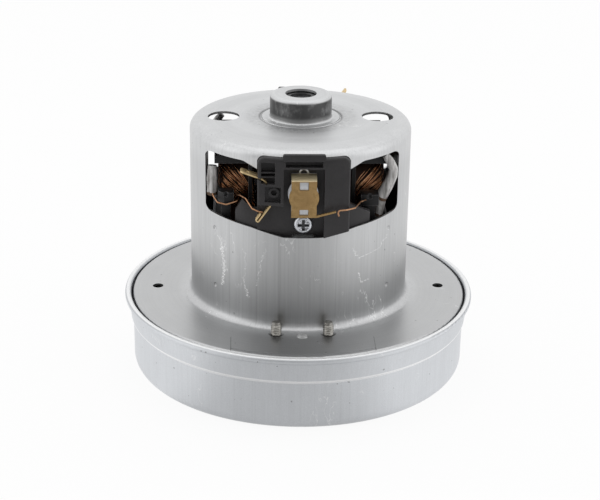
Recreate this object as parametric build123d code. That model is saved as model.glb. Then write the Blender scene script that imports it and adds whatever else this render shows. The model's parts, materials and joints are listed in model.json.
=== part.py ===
# Vacuum motor unit: a universal motor in a drawn steel can, with its fan stage in a pressed cover below.
# Sizes are in millimetres. The shaft runs along +Z, the floor is Z = 0 and the front window faces -Y.

import math
import os

from build123d import *

# Overrun of every cut past the face that it opens
overrun = 1.0
# Face of a moulding kept back from the metal round it
fit_gap = 0.3
# Gap beside a part that slides or spins
running_gap = 0.1

# Fan cover
cover_passage = 3.6
cover_wall = 0.8
cover_corner = 4.0
cover_step_height = 19.9
cover_step = 0.8
cover_flare = 1.1
cover_bead_height = 28.6
cover_bead_radius = 1.2
eye_radius = 19.0
eye_collar_height = 3.0

# Motor can, from the flange up
flange_height = 29.3
flange_corner = 1.0
can_radius = 41.6
can_wall = 0.9
can_head_room = 10.0
can_foot_fillet = 2.8
shoulder_start = 33.0
shoulder_drop = 1.1
shoulder_fillet = 3.6
shoulder_blend = 30.0
hub_wall = 0.6
hub_height = 8.9
hub_edge = 1.5
hub_foot_fillet = 1.0
hub_hole_radius = 5.9
groove_radius = 15.0
groove_section = 0.45
vent_radius = 5.96
vent_circle = 28.9
side_hole_radius = 2.05
side_hole_inset = 10.4
peep_hole_radius = 2.2
peep_hole_reach = 5.55
pad_half_width = 26.0
pad_inset = 2.8
pad_height = 0.25
stake_radius = 1.3
stake_depth = 0.45
stake_angle = 50.0

# Window punched in the can: foot above the core, sides above the foot, heads below the can's top
window_half_width = 35.3
window_head = 5.5
window_corner = 2.5
window_side_rise = 4.4
window_bend_half_width = 19.0
window_bend_rise = 2.6
window_flat_half_width = 7.2
window_lift = 3.0
notch_half_width = 16.65
notch_head = 2.6
tongue_drop = 2.3
tongue_width = 5.0
tongue_fillet = 3.5
notch_corner = 2.6

# Tab of the can that takes the holder's screw
screw_tab_half_width = 5.0
screw_tab_height = 7.6
screw_tab_wall = 0.9
screw_tab_root = 3.2

# Laminated field core
core_length = 20.0
core_half_width = 33.0
core_half_depth = 30.0
yoke_wall = 6.5
pole_half_width = 11.5
pole_shoe = 3.0
pole_shoe_angle = 62.0
air_gap = 0.5

# Coil formers and field coils
former_wall = 1.4
former_inner = 18.2
former_half_depth = 22.0
former_reach = 32.0
former_rise = 8.5
former_flange = 3.0
former_drop = 8.4
coil_half_depth = 18.2
coil_outer_top = 30.3
coil_outer_bottom = 29.0
coil_corner = 11.0
coil_inner_corner = 3.0
coil_hole_corner = 1.4
post_depth = 6.0
post_inset = 12.1
post_stem_depth = 3.6
post_stem_inset = 1.2
near_post_width = 6.6
near_post_side = 24.6
near_post_bottom = 10.7
near_post_top = 14.8
far_post_width = 5.6
far_post_side = 27.8
far_post_bottom = 11.7
far_post_top = 15.5

# Insulating sleeves on the coil leads
sleeve_radius = 2.0
sleeve_bore = 1.2

# Brush gear: brush, tube, holder; heights here are measured from the brush's axis
brush_margin = 3.6
brush_width = 6.3
brush_tall = 9.8
brush_length = 21.0
brush_travel = 6.0
tube_wall = 0.5
tube_clearance = 1.8
tube_proud = 1.2
holder_half_width = 16.5
holder_proud = 0.8
holder_side_inset = 1.0
holder_depth = 8.4
holder_foot_wall = 2.0
holder_gap = 0.1
holder_corner = 2.8
holder_side_corner = 0.9
holder_edge = 1.7
channel_half_width = 7.3
channel_inset = 3.3
channel_top = 10.2
slot_bottom = 10.9
slot_top = 13.3
slot_half_width = 6.6
slot_depth = 2.8
lip_half_width = 7.6
lip_top = 15.8
lip_wall = 1.5
housing_bottom = -3.7
housing_half_width = 5.7
housing_wall = 1.8
wing_reach = 24.4
wing_thickness = 1.9
left_wing_side = -8.9
left_wing_tip = -4.0
left_wing_tip_reach = 21.8
left_wing_notch = -6.6
left_wing_notch_reach = 18.2
right_wing_side = -9.3
right_wing_shoulder = -4.5
recess_left = 15.2
recess_right = 10.3
recess_top = 12.3
recess_bottom = 4.3
recess_depth = 2.6
rib_wall = 0.4
rib_heights = (6.6, 8.2)
pocket_left = 13.9
pocket_right = 8.2
pocket_top = 3.3
pocket_bottom = -2.5
pocket_depth = 0.9
pocket_boss_radius = 1.9
pocket_hole_radius = 1.1

# Tab terminal, a 2.8 x 0.5 brass strip on edge
tab_wall = 0.5
tab_place = 11.9
tab_width = 4.8
tab_inset = 2.2
tab_bend = 6.0
tab_bend_height = 4.5
tab_reach = 10.6
tab_rise = 3.7
tab_rear_reach = 7.6
tab_rear_rise = 11.0
tab_rear_shift = 3.8
tab_corner = 1.3
tab_hole_radius = 0.6
tab_hole_share = 0.76
hook_width = 2.3
hook_drop = 6.1
hook_run = 4.3
hook_return = 3.0

# Brush clip and the tinned plate behind it
clip_half_width = 4.5
clip_wall = 0.6
clip_bottom = -7.4
clip_crease = 6.35
clip_slope_depth = 2.6
clip_slope_rise = 1.2
clip_bulge_radius = 5.3
clip_hole_half_width = 1.6
clip_hole_top = 5.9
clip_hole_tall = 3.1
clip_low_hole_bottom = -6.6
clip_low_hole_tall = 2.2
tail_width = 0.9
tail_reach = 11.4
tail_rise = 1.9
plate_wall = 0.4
plate_half_width = 4.4
plate_bulge_radius = 5.45
plate_bulge_shift = 0.2
plate_bottom = -6.8
plate_top = 7.6
plate_arm_half_width = 1.5
loop_radius = 1.5
loop_wire = 0.32

# Holder screw
screw_height = -11.65
screw_head_radius = 3.5
screw_head_tall = 1.9
screw_head_edge = 1.3
cross_length = 4.2
cross_width = 1.1
cross_depth = 1.1
screw_shank_radius = 1.45
screw_length = 8.0
screw_clearance = 0.25

# Bearings, the common 8 x 22 x 7 size
shaft_radius = 4.0
bearing_radius = 11.0
bearing_width = 7.0
race_wall = 2.0
shield_wall = 0.4
shield_gap = 0.2
top_washer_wall = 0.3

# Lower bearing bracket
bracket_wall = 2.0
bracket_foot_half_width = 15.0
bracket_foot_inset = 13.2
bracket_waist_half_width = 13.6
bracket_hub_radius = 16.5
bracket_cup_wall = 1.5
bracket_lip = 2.5
bracket_bearing_inset = 0.2
bracket_corner = 3.0

# Bracket screws, M4, two at the front and two at the back
bracket_screw_radius = 2.0
bracket_screw_side = 9.5
bracket_screw_reach = 3.2
bracket_screw_proud = 5.0
bracket_screw_head_radius = 3.8
bracket_screw_head_tall = 2.2
bracket_screw_gap = 0.2

# Guide vane plate between fan and motor
diffuser_height = 17.2
diffuser_wall = 1.5
diffuser_hole_radius = 11.0
diffuser_boss_radius = 4.2
vane_wall = 1.2
return_vane_count = 8
return_vane_inner = 30.0
return_vane_inset = 1.0
return_vane_sweep = 62.0
outer_vane_count = 10
fan_vane_gap = 2.0
outer_vane_sweep = 26.0
outer_vane_foot = 6.0
outer_vane_depth = 5.5

# Fan impeller
fan_radius = 52.5
fan_plate_height = 15.2
fan_plate_wall = 1.0
fan_shroud_wall = 0.8
fan_shroud_edge_height = 6.6
fan_shroud_neck_height = 3.4
fan_neck_radius = 20.4
fan_neck_bottom = 1.6
fan_blade_count = 9
fan_blade_wall = 0.8
fan_blade_inner = 22.0
fan_blade_sweep = 68.0
fan_washer_radius = 9.0
fan_washer_wall = 1.2
fan_nut_width = 13.0
fan_nut_tall = 6.5
shaft_bottom = 5.5
spacer_radius = 6.5

# Armature
armature_radius = 20.8
slot_count = 12
slot_mouth = 2.4
slot_outer = 18.6
slot_inner = 9.8
slot_half_angle = 9.5
winding_gap = 0.15
winding_radius = 17.0
winding_clearance = 1.3
winding_low_end = 6.2
winding_high_end = 7.0
winding_core = 7.0
winding_corner = 3.0
lower_collar_radius = 6.0

# Commutator
commutator_radius = 11.5
commutator_body_radius = 8.6
commutator_length = 17.9
riser_radius = 13.2
riser_tall = 2.6
bar_count = 24
bar_gap_angle = 3.0
body_inset = 0.8
commutator_gap = 0.2

# Lead wires and sleeves at the front, as points along their paths, heights from the brush's axis
lead_radius = 0.3
lead_bend = 0.9
hook_lead = (
    (-24.2, -27.6, -4.6),
    (-22.6, -30.6, -3.7),
    (-20.6, -34.2, -3.6),
    (-18.3, -38.4, -5.9),
    (-16.2, -39.6, -6.5),
    (-14.6, -39.6, -6.8),
)
loop_lead = (
    (-32.7, -23.95, -5.6),
    (-32.1, -25.6, -6.3),
    (-30.8, -28.5, -7.2),
    (-27.6, -29.4, -7.7),
    (-23.6, -29.3, -6.4),
    (-22.8, -26.6, -5.4),
)
tail_lead = (
    (12.5, -43.2, -7.0),
    (11.9, -42.9, -5.0),
    (15.2, -42.2, -5.0),
    (18.4, -39.6, -5.2),
    (20.9, -32.5, -5.4),
    (23.0, -29.3, -5.9),
)
sleeve_bend = 3.0
straight_sleeve = (
    (-32.8, -21.0, 4.5),
    (-33.0, -21.6, -1.7),
    (-33.0, -21.0, -6.5),
)
bent_sleeve = (
    (29.9, -24.8, 10.1),
    (33.1, -23.7, 4.0),
    (28.9, -20.3, -9.0),
)
short_sleeve = (
    (28.7, -20.4, -9.7),
    (28.6, -20.6, -12.3),
    (28.2, -20.4, -15.1),
)

# Values worked out from the sizes above: radii
can_inner = can_radius - can_wall
bore_radius = armature_radius + air_gap
outer_vane_inner = fan_radius + fan_vane_gap
diffuser_radius = outer_vane_inner + outer_vane_depth
return_vane_outer = diffuser_radius - return_vane_inset
cover_inner = diffuser_radius + cover_passage
cover_radius = cover_inner + cover_wall
band_radius = cover_radius + cover_step
hub_radius = bearing_radius + hub_wall
side_hole_circle = band_radius - side_hole_inset
peep_hole_circle = can_radius + peep_hole_reach
pad_radius = band_radius - pad_inset
bracket_foot_end = band_radius - bracket_foot_inset
bracket_screw_front = can_radius + bracket_screw_reach
post_front = can_inner - post_inset
# Distances of the brush gear from the shaft
channel_face = can_radius - channel_inset
holder_face = can_radius + holder_proud
holder_side_face = can_radius - holder_side_inset
holder_back = can_radius - holder_depth
tube_end = can_radius + tube_proud
tube_start = commutator_radius + tube_clearance
tab_front = can_radius - tab_inset
# Heights, from the flange up through the bearing, the core and the commutator to the hub
flange_under = flange_height - can_wall
bracket_bottom = flange_under - bracket_wall
low_bearing_bottom = bracket_bottom + bracket_bearing_inset
low_bearing_top = low_bearing_bottom + bearing_width
cup_top = low_bearing_top + bracket_cup_wall
winding_bottom = cup_top + winding_clearance
core_height = winding_bottom + winding_low_end
core_top = core_height + core_length
winding_top = core_top + winding_high_end
commutator_bottom = winding_top + body_inset + commutator_gap
commutator_top = commutator_bottom + commutator_length
brush_height = commutator_bottom + riser_tall + brush_margin + brush_tall / 2
can_top = commutator_top + can_head_room
hub_top = can_top + hub_height
top_bearing_top = hub_top - can_wall - top_washer_wall
top_bearing_bottom = top_bearing_top - bearing_width
window_foot = core_top + window_lift
window_bend = window_foot + window_bend_rise
window_side = window_foot + window_side_rise
window_top = can_top - window_head
notch_top = can_top - notch_head
former_top = brush_height + former_rise
former_bottom = core_height - former_drop
fan_plate_top = fan_plate_height + fan_plate_wall
diffuser_top = diffuser_height + diffuser_wall
# The same, measured from the brush's axis
gear_foot = window_foot - brush_height
gear_bend = window_bend - brush_height
gear_top = notch_top - brush_height


def outline(corners):
    """Closed face from corners given as (across, up, corner radius)."""
    points = [(across, up) for across, up, _ in corners]
    radii = [radius for _, _, radius in corners]
    return make_face(FilletPolyline(*points, radius=radii, close=True))


def slab(corners, bottom, top):
    """Plan outline raised from one height to another."""
    return Pos(0, 0, bottom) * extrude(outline(corners), amount=top - bottom, dir=(0, 0, 1))


def front_slab(corners, near, far):
    """Outline in the front view, X across and Z up, reaching from Y = -near to Y = -far."""
    face = Plane.XZ * outline(corners)
    return Pos(0, -near, 0) * extrude(face, amount=far - near, dir=(0, -1, 0))


def turned(corners, angle=360):
    """Radius and height outline turned about the shaft axis."""
    return revolve(Plane.XZ * outline(corners), axis=Axis.Z, revolution_arc=angle)


def box(left, right, front, back, bottom, top):
    size = Box(right - left, back - front, top - bottom)
    return Pos((left + right) / 2, (front + back) / 2, (bottom + top) / 2) * size


def rod(radius, bottom, top):
    """Upright cylinder on the shaft axis."""
    return Pos(0, 0, (bottom + top) / 2) * Cylinder(radius, top - bottom)


def ring(outer, inner, bottom, top):
    return rod(outer, bottom, top) - rod(inner, bottom - overrun, top + overrun)


def rod_y(radius, side, height, front, back):
    """Cylinder along Y at X = side, Z = height."""
    bar = Rot(90, 0, 0) * Cylinder(radius, back - front)
    return Pos(side, (front + back) / 2, height) * bar


def on_circle(shape, count, start=0):
    return [Rot(0, 0, start + 360 * place / count) * shape for place in range(count)]


def to_rear(shape):
    return Rot(0, 0, 180) * shape


def fan_cover():
    """Pressed cover: inlet eye with a collar, rounded foot, a step and a flared, beaded rim."""
    top_radius = band_radius + cover_flare
    bead = Pos(0, 0, cover_bead_height) * Torus(top_radius, cover_bead_radius)
    inner_corner = cover_corner - cover_wall
    wall = [
        (eye_radius, 0, 0),
        (cover_radius, 0, cover_corner),
        (cover_radius, cover_step_height - cover_step, 0),
        (band_radius, cover_step_height, 0),
        (top_radius, cover_bead_height, 0),
        (top_radius - cover_wall, cover_bead_height, 0),
        (band_radius - cover_wall, cover_step_height, 0),
        (cover_inner, cover_step_height, 0),
        (cover_inner, cover_wall, inner_corner),
        (eye_radius + cover_wall, cover_wall, 0),
        (eye_radius + cover_wall, eye_collar_height, 0),
        (eye_radius, eye_collar_height, 0),
    ]
    return turned(wall) + bead


def window_cutter():
    """Front window: side lobes, a notch for the brush holder and metal tongues between them."""
    tip = window_top - tongue_drop
    right = [
        (window_flat_half_width, window_foot, 0),
        (window_bend_half_width, window_bend, 0),
        (window_half_width, window_side, window_corner),
        (window_half_width, window_top, window_corner),
        (notch_half_width + tongue_width, window_top, tongue_fillet),
        (notch_half_width, tip, 0),
        (notch_half_width, notch_top, notch_corner),
    ]
    left = [(-across, up, radius) for across, up, radius in reversed(right)]
    return front_slab(right + left, 0, can_radius + overrun)


def screw_tab():
    """Tab left standing at the foot of the window, set in behind the brush holder."""
    outer = channel_face - holder_foot_wall - running_gap
    inner = outer - screw_tab_wall
    foot = window_foot
    root = foot - screw_tab_root
    half = screw_tab_half_width
    tab = box(-half, half, -outer, -inner, root, foot + screw_tab_height)
    joggle = box(-half, half, -can_inner - can_wall / 2, -inner, root, root + screw_tab_wall)
    hole = rod_y(screw_shank_radius, 0, brush_height + screw_height, -outer - overrun, -inner + overrun)
    return tab + joggle - hole


def motor_can():
    """Drawn can: bearing hub, vents, windows front and rear, flange and skirt in the cover's rim."""
    top = can_top
    skirt_radius = band_radius - cover_wall
    skirt_inner = skirt_radius - can_wall
    slope_top = top - shoulder_drop
    outer = [
        (hub_hole_radius, hub_top, 0),
        (hub_radius, hub_top, hub_edge),
        (hub_radius, top, hub_foot_fillet),
        (shoulder_start, top, shoulder_blend),
        (can_radius, slope_top, shoulder_fillet),
        (can_radius, flange_height, can_foot_fillet),
        (skirt_radius, flange_height, flange_corner),
        (skirt_radius, cover_step_height, 0),
    ]
    inner = [
        (skirt_inner, cover_step_height, 0),
        (skirt_inner, flange_under, 0),
        (can_inner, flange_under, can_foot_fillet + can_wall),
        (can_inner, slope_top - can_wall, shoulder_fillet - can_wall),
        (shoulder_start, top - can_wall, shoulder_blend),
        (hub_radius - hub_wall, top - can_wall, hub_foot_fillet + can_wall),
        (hub_radius - hub_wall, hub_top - can_wall, 0),
        (hub_hole_radius, hub_top - can_wall, 0),
    ]
    can = turned(outer + inner)
    can -= Pos(0, 0, top) * Torus(groove_radius, groove_section)
    window = window_cutter()
    can -= window
    can -= to_rear(window)
    vent = Pos(vent_circle, 0, 0) * rod(vent_radius, top - shoulder_drop - can_wall, hub_top)
    side_hole = Pos(side_hole_circle, 0, 0) * rod(side_hole_radius, cover_step_height, can_top)
    for part in (vent, side_hole):
        can -= part
        can -= to_rear(part)
    pad = box(-pad_half_width, pad_half_width, -pad_radius, 0, flange_height, flange_height + pad_height)
    pad_ring = ring(pad_radius, can_radius + can_foot_fillet, flange_height, flange_height + pad_height)
    pad = pad & pad_ring
    peep = Pos(0, -peep_hole_circle, 0) * rod(peep_hole_radius, cover_step_height, can_top)
    front = screw_tab()
    for side in (-1, 1):
        place = Pos(side * bracket_screw_side, -bracket_screw_front, 0)
        pad -= place * rod(bracket_screw_radius, cover_step_height, can_top)
        peep += place * rod(bracket_screw_radius, cover_step_height, can_top)
    pad -= peep
    for turn in (0, 180):
        can -= Rot(0, 0, turn) * peep
        can += Rot(0, 0, turn) * pad
        can += Rot(0, 0, turn) * front
    return can - stakes()


def stakes():
    """Dents that hold the core, just above and below the stack at its four corners."""
    dent_reach = can_radius + stake_radius - stake_depth
    dents = []
    for turn in (stake_angle, 180 - stake_angle, 180 + stake_angle, -stake_angle):
        for height in (core_height - stake_radius, core_top + stake_radius):
            ball = Pos(0, -dent_reach, height) * Sphere(stake_radius)
            dents.append(Rot(0, 0, turn) * ball)
    return dents


def field_core():
    """Laminated stack: corners held by the can, a pole each side with its shoe round the bore."""
    square = Rectangle(2 * core_half_width, 2 * core_half_depth)
    inside = Rectangle(2 * (core_half_width - yoke_wall), 2 * (core_half_depth - yoke_wall))
    plate = (Circle(can_inner) & square) - inside
    shoe = Circle(bore_radius + pole_shoe)
    pole = Rectangle(2 * (core_half_width - yoke_wall), 2 * pole_half_width)
    reach = bore_radius + pole_shoe
    rise = reach * math.tan(math.radians(pole_shoe_angle))
    wedge = make_face(Polyline((0, 0), (reach, rise), (reach, -rise), close=True))
    shoes = (shoe & wedge) + (shoe & (Rot(0, 0, 180) * wedge))
    face = plate + pole + shoes - Circle(bore_radius)
    return Pos(0, 0, core_height) * extrude(face, amount=core_length)


def coil_clearance():
    """Round space that the pole shoes and the armature need inside the coils."""
    return rod(bore_radius + pole_shoe + fit_gap, former_bottom, core_top + former_wall)


def coil_loop():
    """Outline of one coil round its pole, X across and Y up the loop, as a plan for both ends."""
    leg_inner = pole_half_width + fit_gap
    top_end = former_top - former_flange
    low_end = former_bottom + former_wall
    middle = (top_end + low_end) / 2
    outer = RectangleRounded(2 * coil_half_depth, top_end - low_end, coil_corner)
    hole_top = core_top + 4 * former_wall
    hole_low = core_height - former_wall
    hole = RectangleRounded(2 * leg_inner, hole_top - hole_low, coil_hole_corner)
    loop = Pos(0, middle) * outer - Pos(0, (hole_top + hole_low) / 2) * hole
    return loop


def field_coil():
    """Right-hand coil: legs in the slots, ends spread outwards above and below the stack."""
    start = former_inner - 2 * former_wall
    yoke_face = core_half_width - yoke_wall - fit_gap
    inner_face = former_inner + former_wall
    top_end = former_top - former_flange
    low_end = former_bottom + former_wall
    side_view = [
        (start, core_height, 0),
        (start, core_top, 0),
        (inner_face, core_top + 3 * former_wall, 0),
        (inner_face, top_end, 0),
        (coil_outer_top, top_end, coil_inner_corner),
        (coil_outer_top, core_top + 6 * former_wall, coil_inner_corner),
        (yoke_face, core_top + fit_gap, 0),
        (yoke_face, core_height - fit_gap, 0),
        (coil_outer_bottom, core_height - 2 * former_wall, 0),
        (coil_outer_bottom, low_end, coil_inner_corner),
        (inner_face, low_end, 0),
        (inner_face, core_height - 2 * former_wall, 0),
    ]
    loop = extrude(Plane.YZ * coil_loop(), amount=former_reach, dir=(1, 0, 0))
    bundle = front_slab(side_view, -former_reach, former_reach)
    coil = loop & bundle
    return coil - coil_clearance()


def former_plan(reach, half_depth):
    """Plan of a former's flange: straight inside, trimmed to the can outside."""
    square = Pos((former_inner + reach) / 2, 0) * Rectangle(reach - former_inner, 2 * half_depth)
    return square & Circle(can_inner - fit_gap)


def former_base(bottom, half_depth):
    """Plate of a former on the end of the core, open round the bore."""
    plate = extrude(former_plan(former_reach, half_depth), amount=former_wall)
    base = Pos(0, 0, bottom) * plate
    return base - rod(bore_radius, bottom, bottom + former_wall)


def leg_rooms(bottom, top):
    """Openings of a former where the coil's two legs leave the slots."""
    reach = core_half_width - yoke_wall + former_wall
    side = coil_half_depth + fit_gap
    room = box(0, reach, pole_half_width - coil_hole_corner, side, bottom, top)
    return room + mirror(room, about=Plane.XZ)


def lead_post(width, side, bottom, top):
    """Post that carries a coil end: a stem on the former's base and a thicker head, above the core."""
    left = side - width / 2
    right = side + width / 2
    bottom += core_top
    top += core_top
    head = box(left, right, -post_front, -post_front + post_depth, bottom, top)
    stem_left = left + post_stem_inset
    stem_right = right - post_stem_inset
    stem_front = post_front - post_stem_inset
    stem = box(stem_left, stem_right, -stem_front, -stem_front + post_stem_depth, core_top, bottom)
    groove = box(side - former_wall / 2, side + former_wall / 2, -post_front, -post_front + former_wall,
                 top - former_wall, top)
    return (head + stem - groove) & rod(can_inner - fit_gap, core_top, top)


def upper_former():
    """Right-hand upper former: wall beside the commutator, top flange and a lead post each end."""
    flange = extrude(former_plan(former_reach, former_half_depth), amount=former_flange)
    former = Pos(0, 0, former_top - former_flange) * flange
    wall_end = former_inner + former_wall
    former += box(former_inner, wall_end, -former_half_depth, former_half_depth, core_top, former_top)
    former -= rod(bore_radius, core_height, core_top + former_wall)
    former += former_base(core_top, post_front)
    former -= leg_rooms(core_top, core_top + 3 * former_wall + fit_gap)
    former += lead_post(near_post_width, near_post_side, near_post_bottom, near_post_top)
    rear_post = lead_post(far_post_width, -far_post_side, far_post_bottom, far_post_top)
    return former + to_rear(rear_post)


def lower_former():
    """Right-hand lower former: wall beside the armature winding and a bottom flange."""
    flange = extrude(former_plan(coil_outer_bottom, coil_half_depth), amount=former_wall)
    former = Pos(0, 0, former_bottom) * flange
    wall_end = former_inner + former_wall
    former += box(former_inner, wall_end, -coil_half_depth, coil_half_depth, former_bottom, core_height)
    former -= rod(bore_radius, core_height - former_wall, core_height)
    former += former_base(core_height - former_wall, coil_half_depth + 2 * former_wall)
    return former - leg_rooms(core_height - 2 * former_wall - fit_gap, core_height)


def bearing_outer(bottom, radius):
    """Outer ring with a shield at each face, open towards the balls."""
    top = bottom + bearing_width
    shield_inner = shaft_radius + race_wall + shield_gap
    race = radius - race_wall
    section = [
        (radius, bottom, 0),
        (radius, top, 0),
        (shield_inner, top, 0),
        (shield_inner, top - shield_wall, 0),
        (race, top - shield_wall, 0),
        (race, bottom + shield_wall, 0),
        (shield_inner, bottom + shield_wall, 0),
        (shield_inner, bottom, 0),
    ]
    return turned(section)


def bearing_inner(bottom):
    return ring(shaft_radius + race_wall, shaft_radius, bottom, bottom + bearing_width)


def bearing_bracket():
    """Bridge under the can: feet front and rear, a cup for the lower bearing in the middle."""
    foot = bracket_foot_half_width
    end = bracket_foot_end
    waist = bracket_waist_half_width
    plan = [
        (-foot, -end, bracket_corner),
        (foot, -end, bracket_corner),
        (waist, 0, 0),
        (foot, end, bracket_corner),
        (-foot, end, bracket_corner),
        (-waist, 0, 0),
    ]
    bridge = slab(plan, bracket_bottom, flange_under)
    bridge += rod(bracket_hub_radius, bracket_bottom, flange_under)
    bridge += rod(bearing_radius + bracket_cup_wall, bracket_bottom, cup_top)
    bridge -= rod(bearing_radius, bracket_bottom - overrun, low_bearing_top)
    bridge -= rod(bearing_radius - bracket_lip, bracket_bottom, cup_top + overrun)
    hole = rod(bracket_screw_radius + bracket_screw_gap, bracket_bottom - overrun, flange_height)
    for side in (-1, 1):
        for front in (-1, 1):
            bridge -= Pos(side * bracket_screw_side, front * bracket_screw_front, 0) * hole
    return bridge


def bracket_screw():
    """Countersunk screw from below, its tip proud of the flange."""
    bottom = diffuser_height
    tip = flange_height + bracket_screw_proud
    head_top = bottom + bracket_screw_head_tall
    chamfer_size = bracket_screw_radius / 4
    section = [
        (0, bottom, 0),
        (bracket_screw_head_radius, bottom, 0),
        (bracket_screw_radius, head_top, 0),
        (bracket_screw_radius, tip - chamfer_size, 0),
        (bracket_screw_radius - chamfer_size, tip, 0),
        (0, tip, 0),
    ]
    return turned(section)


def bracket_screws():
    screws = []
    for side in (-1, 1):
        for front in (-1, 1):
            screws.append(Pos(side * bracket_screw_side, front * bracket_screw_front, 0) * bracket_screw())
    return screws


def swept_vane(inner, outer, sweep, wall, bottom, top):
    """Upright vane curved from an inner to an outer radius while it swings back by an angle."""
    turn = math.radians(sweep)
    middle = (inner + outer) / 2
    end = (outer * math.cos(turn), outer * math.sin(turn))
    half = (middle * math.cos(turn / 3), middle * math.sin(turn / 3))
    arc = ThreePointArc((inner, 0), half, end)
    face = make_face(offset(arc, wall / 2, side=Side.BOTH))
    return Pos(0, 0, bottom) * extrude(face, amount=top - bottom, dir=(0, 0, 1))


def diffuser():
    """Guide vane plate: outer vanes slow the air, vanes on top turn it in towards the motor."""
    plate = ring(diffuser_radius, diffuser_hole_radius, diffuser_height, diffuser_top)
    vane_top = flange_under - bracket_screw_gap
    vane = swept_vane(
        return_vane_inner, return_vane_outer, return_vane_sweep, vane_wall, diffuser_top, vane_top
    )
    step = 360 / return_vane_count
    vanes = on_circle(vane, return_vane_count, step / 2)
    foot = bracket_foot_half_width + bracket_screw_gap
    reach = bracket_foot_end + bracket_screw_gap
    room = box(-foot, foot, -reach, reach, bracket_bottom, flange_under)
    boss = rod(diffuser_boss_radius, diffuser_top, bracket_bottom)
    hole = bracket_screw()
    clearance = rod(bracket_screw_radius + bracket_screw_gap, diffuser_height, flange_under)
    body = plate
    for item in vanes:
        body += item - room
    outer = swept_vane(
        outer_vane_inner, diffuser_radius, outer_vane_sweep, vane_wall, outer_vane_foot, diffuser_height
    )
    for item in on_circle(outer, outer_vane_count):
        body += item & rod(diffuser_radius, outer_vane_foot, diffuser_height)
    for side in (-1, 1):
        for front in (-1, 1):
            place = Pos(side * bracket_screw_side, front * bracket_screw_front, 0)
            body += place * boss
            body -= place * clearance
            body -= place * hole
    return body


def shroud_corners(above):
    """Cone of the fan's front shroud, or a height above it, from its edge to its neck."""
    edge = fan_shroud_edge_height + above
    neck = fan_shroud_neck_height + above
    return edge, neck


def fan_blade():
    """Backward-curved blade between the shroud's cone and the back plate."""
    sweep = -fan_blade_sweep
    blade = swept_vane(fan_blade_inner, fan_radius, sweep, fan_blade_wall, fan_neck_bottom, fan_plate_height)
    edge, neck = shroud_corners(fan_shroud_wall)
    slope = (edge - neck) / (fan_radius - fan_neck_radius)
    beyond = fan_radius + overrun
    section = [
        (0, neck - fan_neck_radius * slope, 0),
        (beyond, edge + overrun * slope, 0),
        (beyond, fan_plate_height, 0),
        (0, fan_plate_height, 0),
    ]
    keep = turned(section) & rod(fan_radius, fan_neck_bottom, fan_plate_height)
    return blade & keep


def fan_shroud():
    """Front shroud: a shallow cone with a short neck round the cover's collar."""
    edge, neck = shroud_corners(0)
    top_edge, top_neck = shroud_corners(fan_shroud_wall)
    neck_outer = fan_neck_radius + fan_shroud_wall
    slope = (edge - neck) / (fan_radius - fan_neck_radius)
    section = [
        (fan_neck_radius, fan_neck_bottom, 0),
        (neck_outer, fan_neck_bottom, 0),
        (neck_outer, neck + fan_shroud_wall * slope, 0),
        (fan_radius, edge, 0),
        (fan_radius, top_edge, 0),
        (fan_neck_radius, top_neck, 0),
    ]
    return turned(section)


def fan_nut():
    size = RegularPolygon(fan_nut_width / 2, 6, major_radius=False) - Circle(shaft_radius)
    bottom = fan_plate_height - fan_washer_wall - fan_nut_tall
    return Pos(0, 0, bottom) * extrude(size, amount=fan_nut_tall)


def fan_washers():
    top = fan_plate_top + fan_washer_wall
    low = fan_plate_height - fan_washer_wall
    return [
        ring(fan_washer_radius, shaft_radius, low, fan_plate_height),
        ring(fan_washer_radius, shaft_radius, fan_plate_top, top),
    ]


def armature_slot():
    """Plan of one slot: a wedge that widens outwards and a narrow mouth at the rim."""
    outer = slot_outer * math.sin(math.radians(slot_half_angle))
    inner = slot_inner * math.sin(math.radians(slot_half_angle / 2))
    corners = [
        (slot_inner, -inner, 0),
        (slot_outer, -outer, 0),
        (slot_outer, outer, 0),
        (slot_inner, inner, 0),
    ]
    return outline(corners)


def armature_core():
    """Laminated armature with open-mouthed slots."""
    mouth_length = armature_radius - slot_outer + 2 * overrun
    mouth = Pos(slot_outer - overrun + mouth_length / 2, 0) * Rectangle(mouth_length, slot_mouth)
    slot = armature_slot() + mouth
    face = Circle(armature_radius) - Circle(shaft_radius)
    for item in on_circle(slot, slot_count):
        face -= item
    return Pos(0, 0, core_height) * extrude(face, amount=core_length)


def winding_end(low, high):
    """Rounded bundle of end turns above or below the armature core."""
    low_radius = winding_corner if low < core_height else 0
    high_radius = winding_corner if high > core_top else 0
    section = [
        (winding_core, low, low_radius),
        (winding_radius, low, low_radius),
        (winding_radius, high, high_radius),
        (winding_core, high, high_radius),
    ]
    return turned(section)


def armature_winding():
    """Copper: two end bundles joined through the slots."""
    winding = winding_end(winding_bottom, core_height)
    winding += winding_end(core_top, winding_top)
    leg = offset(armature_slot(), -winding_gap)
    bar = Pos(0, 0, core_height) * extrude(leg, amount=core_length, dir=(0, 0, 1))
    bar &= rod(winding_radius, core_height, core_top)
    for item in on_circle(bar, slot_count):
        winding += item
    return winding


def commutator_bars():
    """Copper bars with a riser at the winding's end, one solid each."""
    section = [
        (commutator_body_radius, commutator_bottom, 0),
        (riser_radius, commutator_bottom, 0),
        (riser_radius, commutator_bottom + riser_tall, 0),
        (commutator_radius, commutator_bottom + riser_tall, 0),
        (commutator_radius, commutator_top, 0),
        (commutator_body_radius, commutator_top, 0),
    ]
    bar = turned(section, 360 / bar_count - bar_gap_angle)
    return on_circle(bar, bar_count)


def commutator_body():
    bottom = commutator_bottom - body_inset
    top = commutator_top + body_inset
    return ring(commutator_body_radius, shaft_radius, bottom, top)


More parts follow.
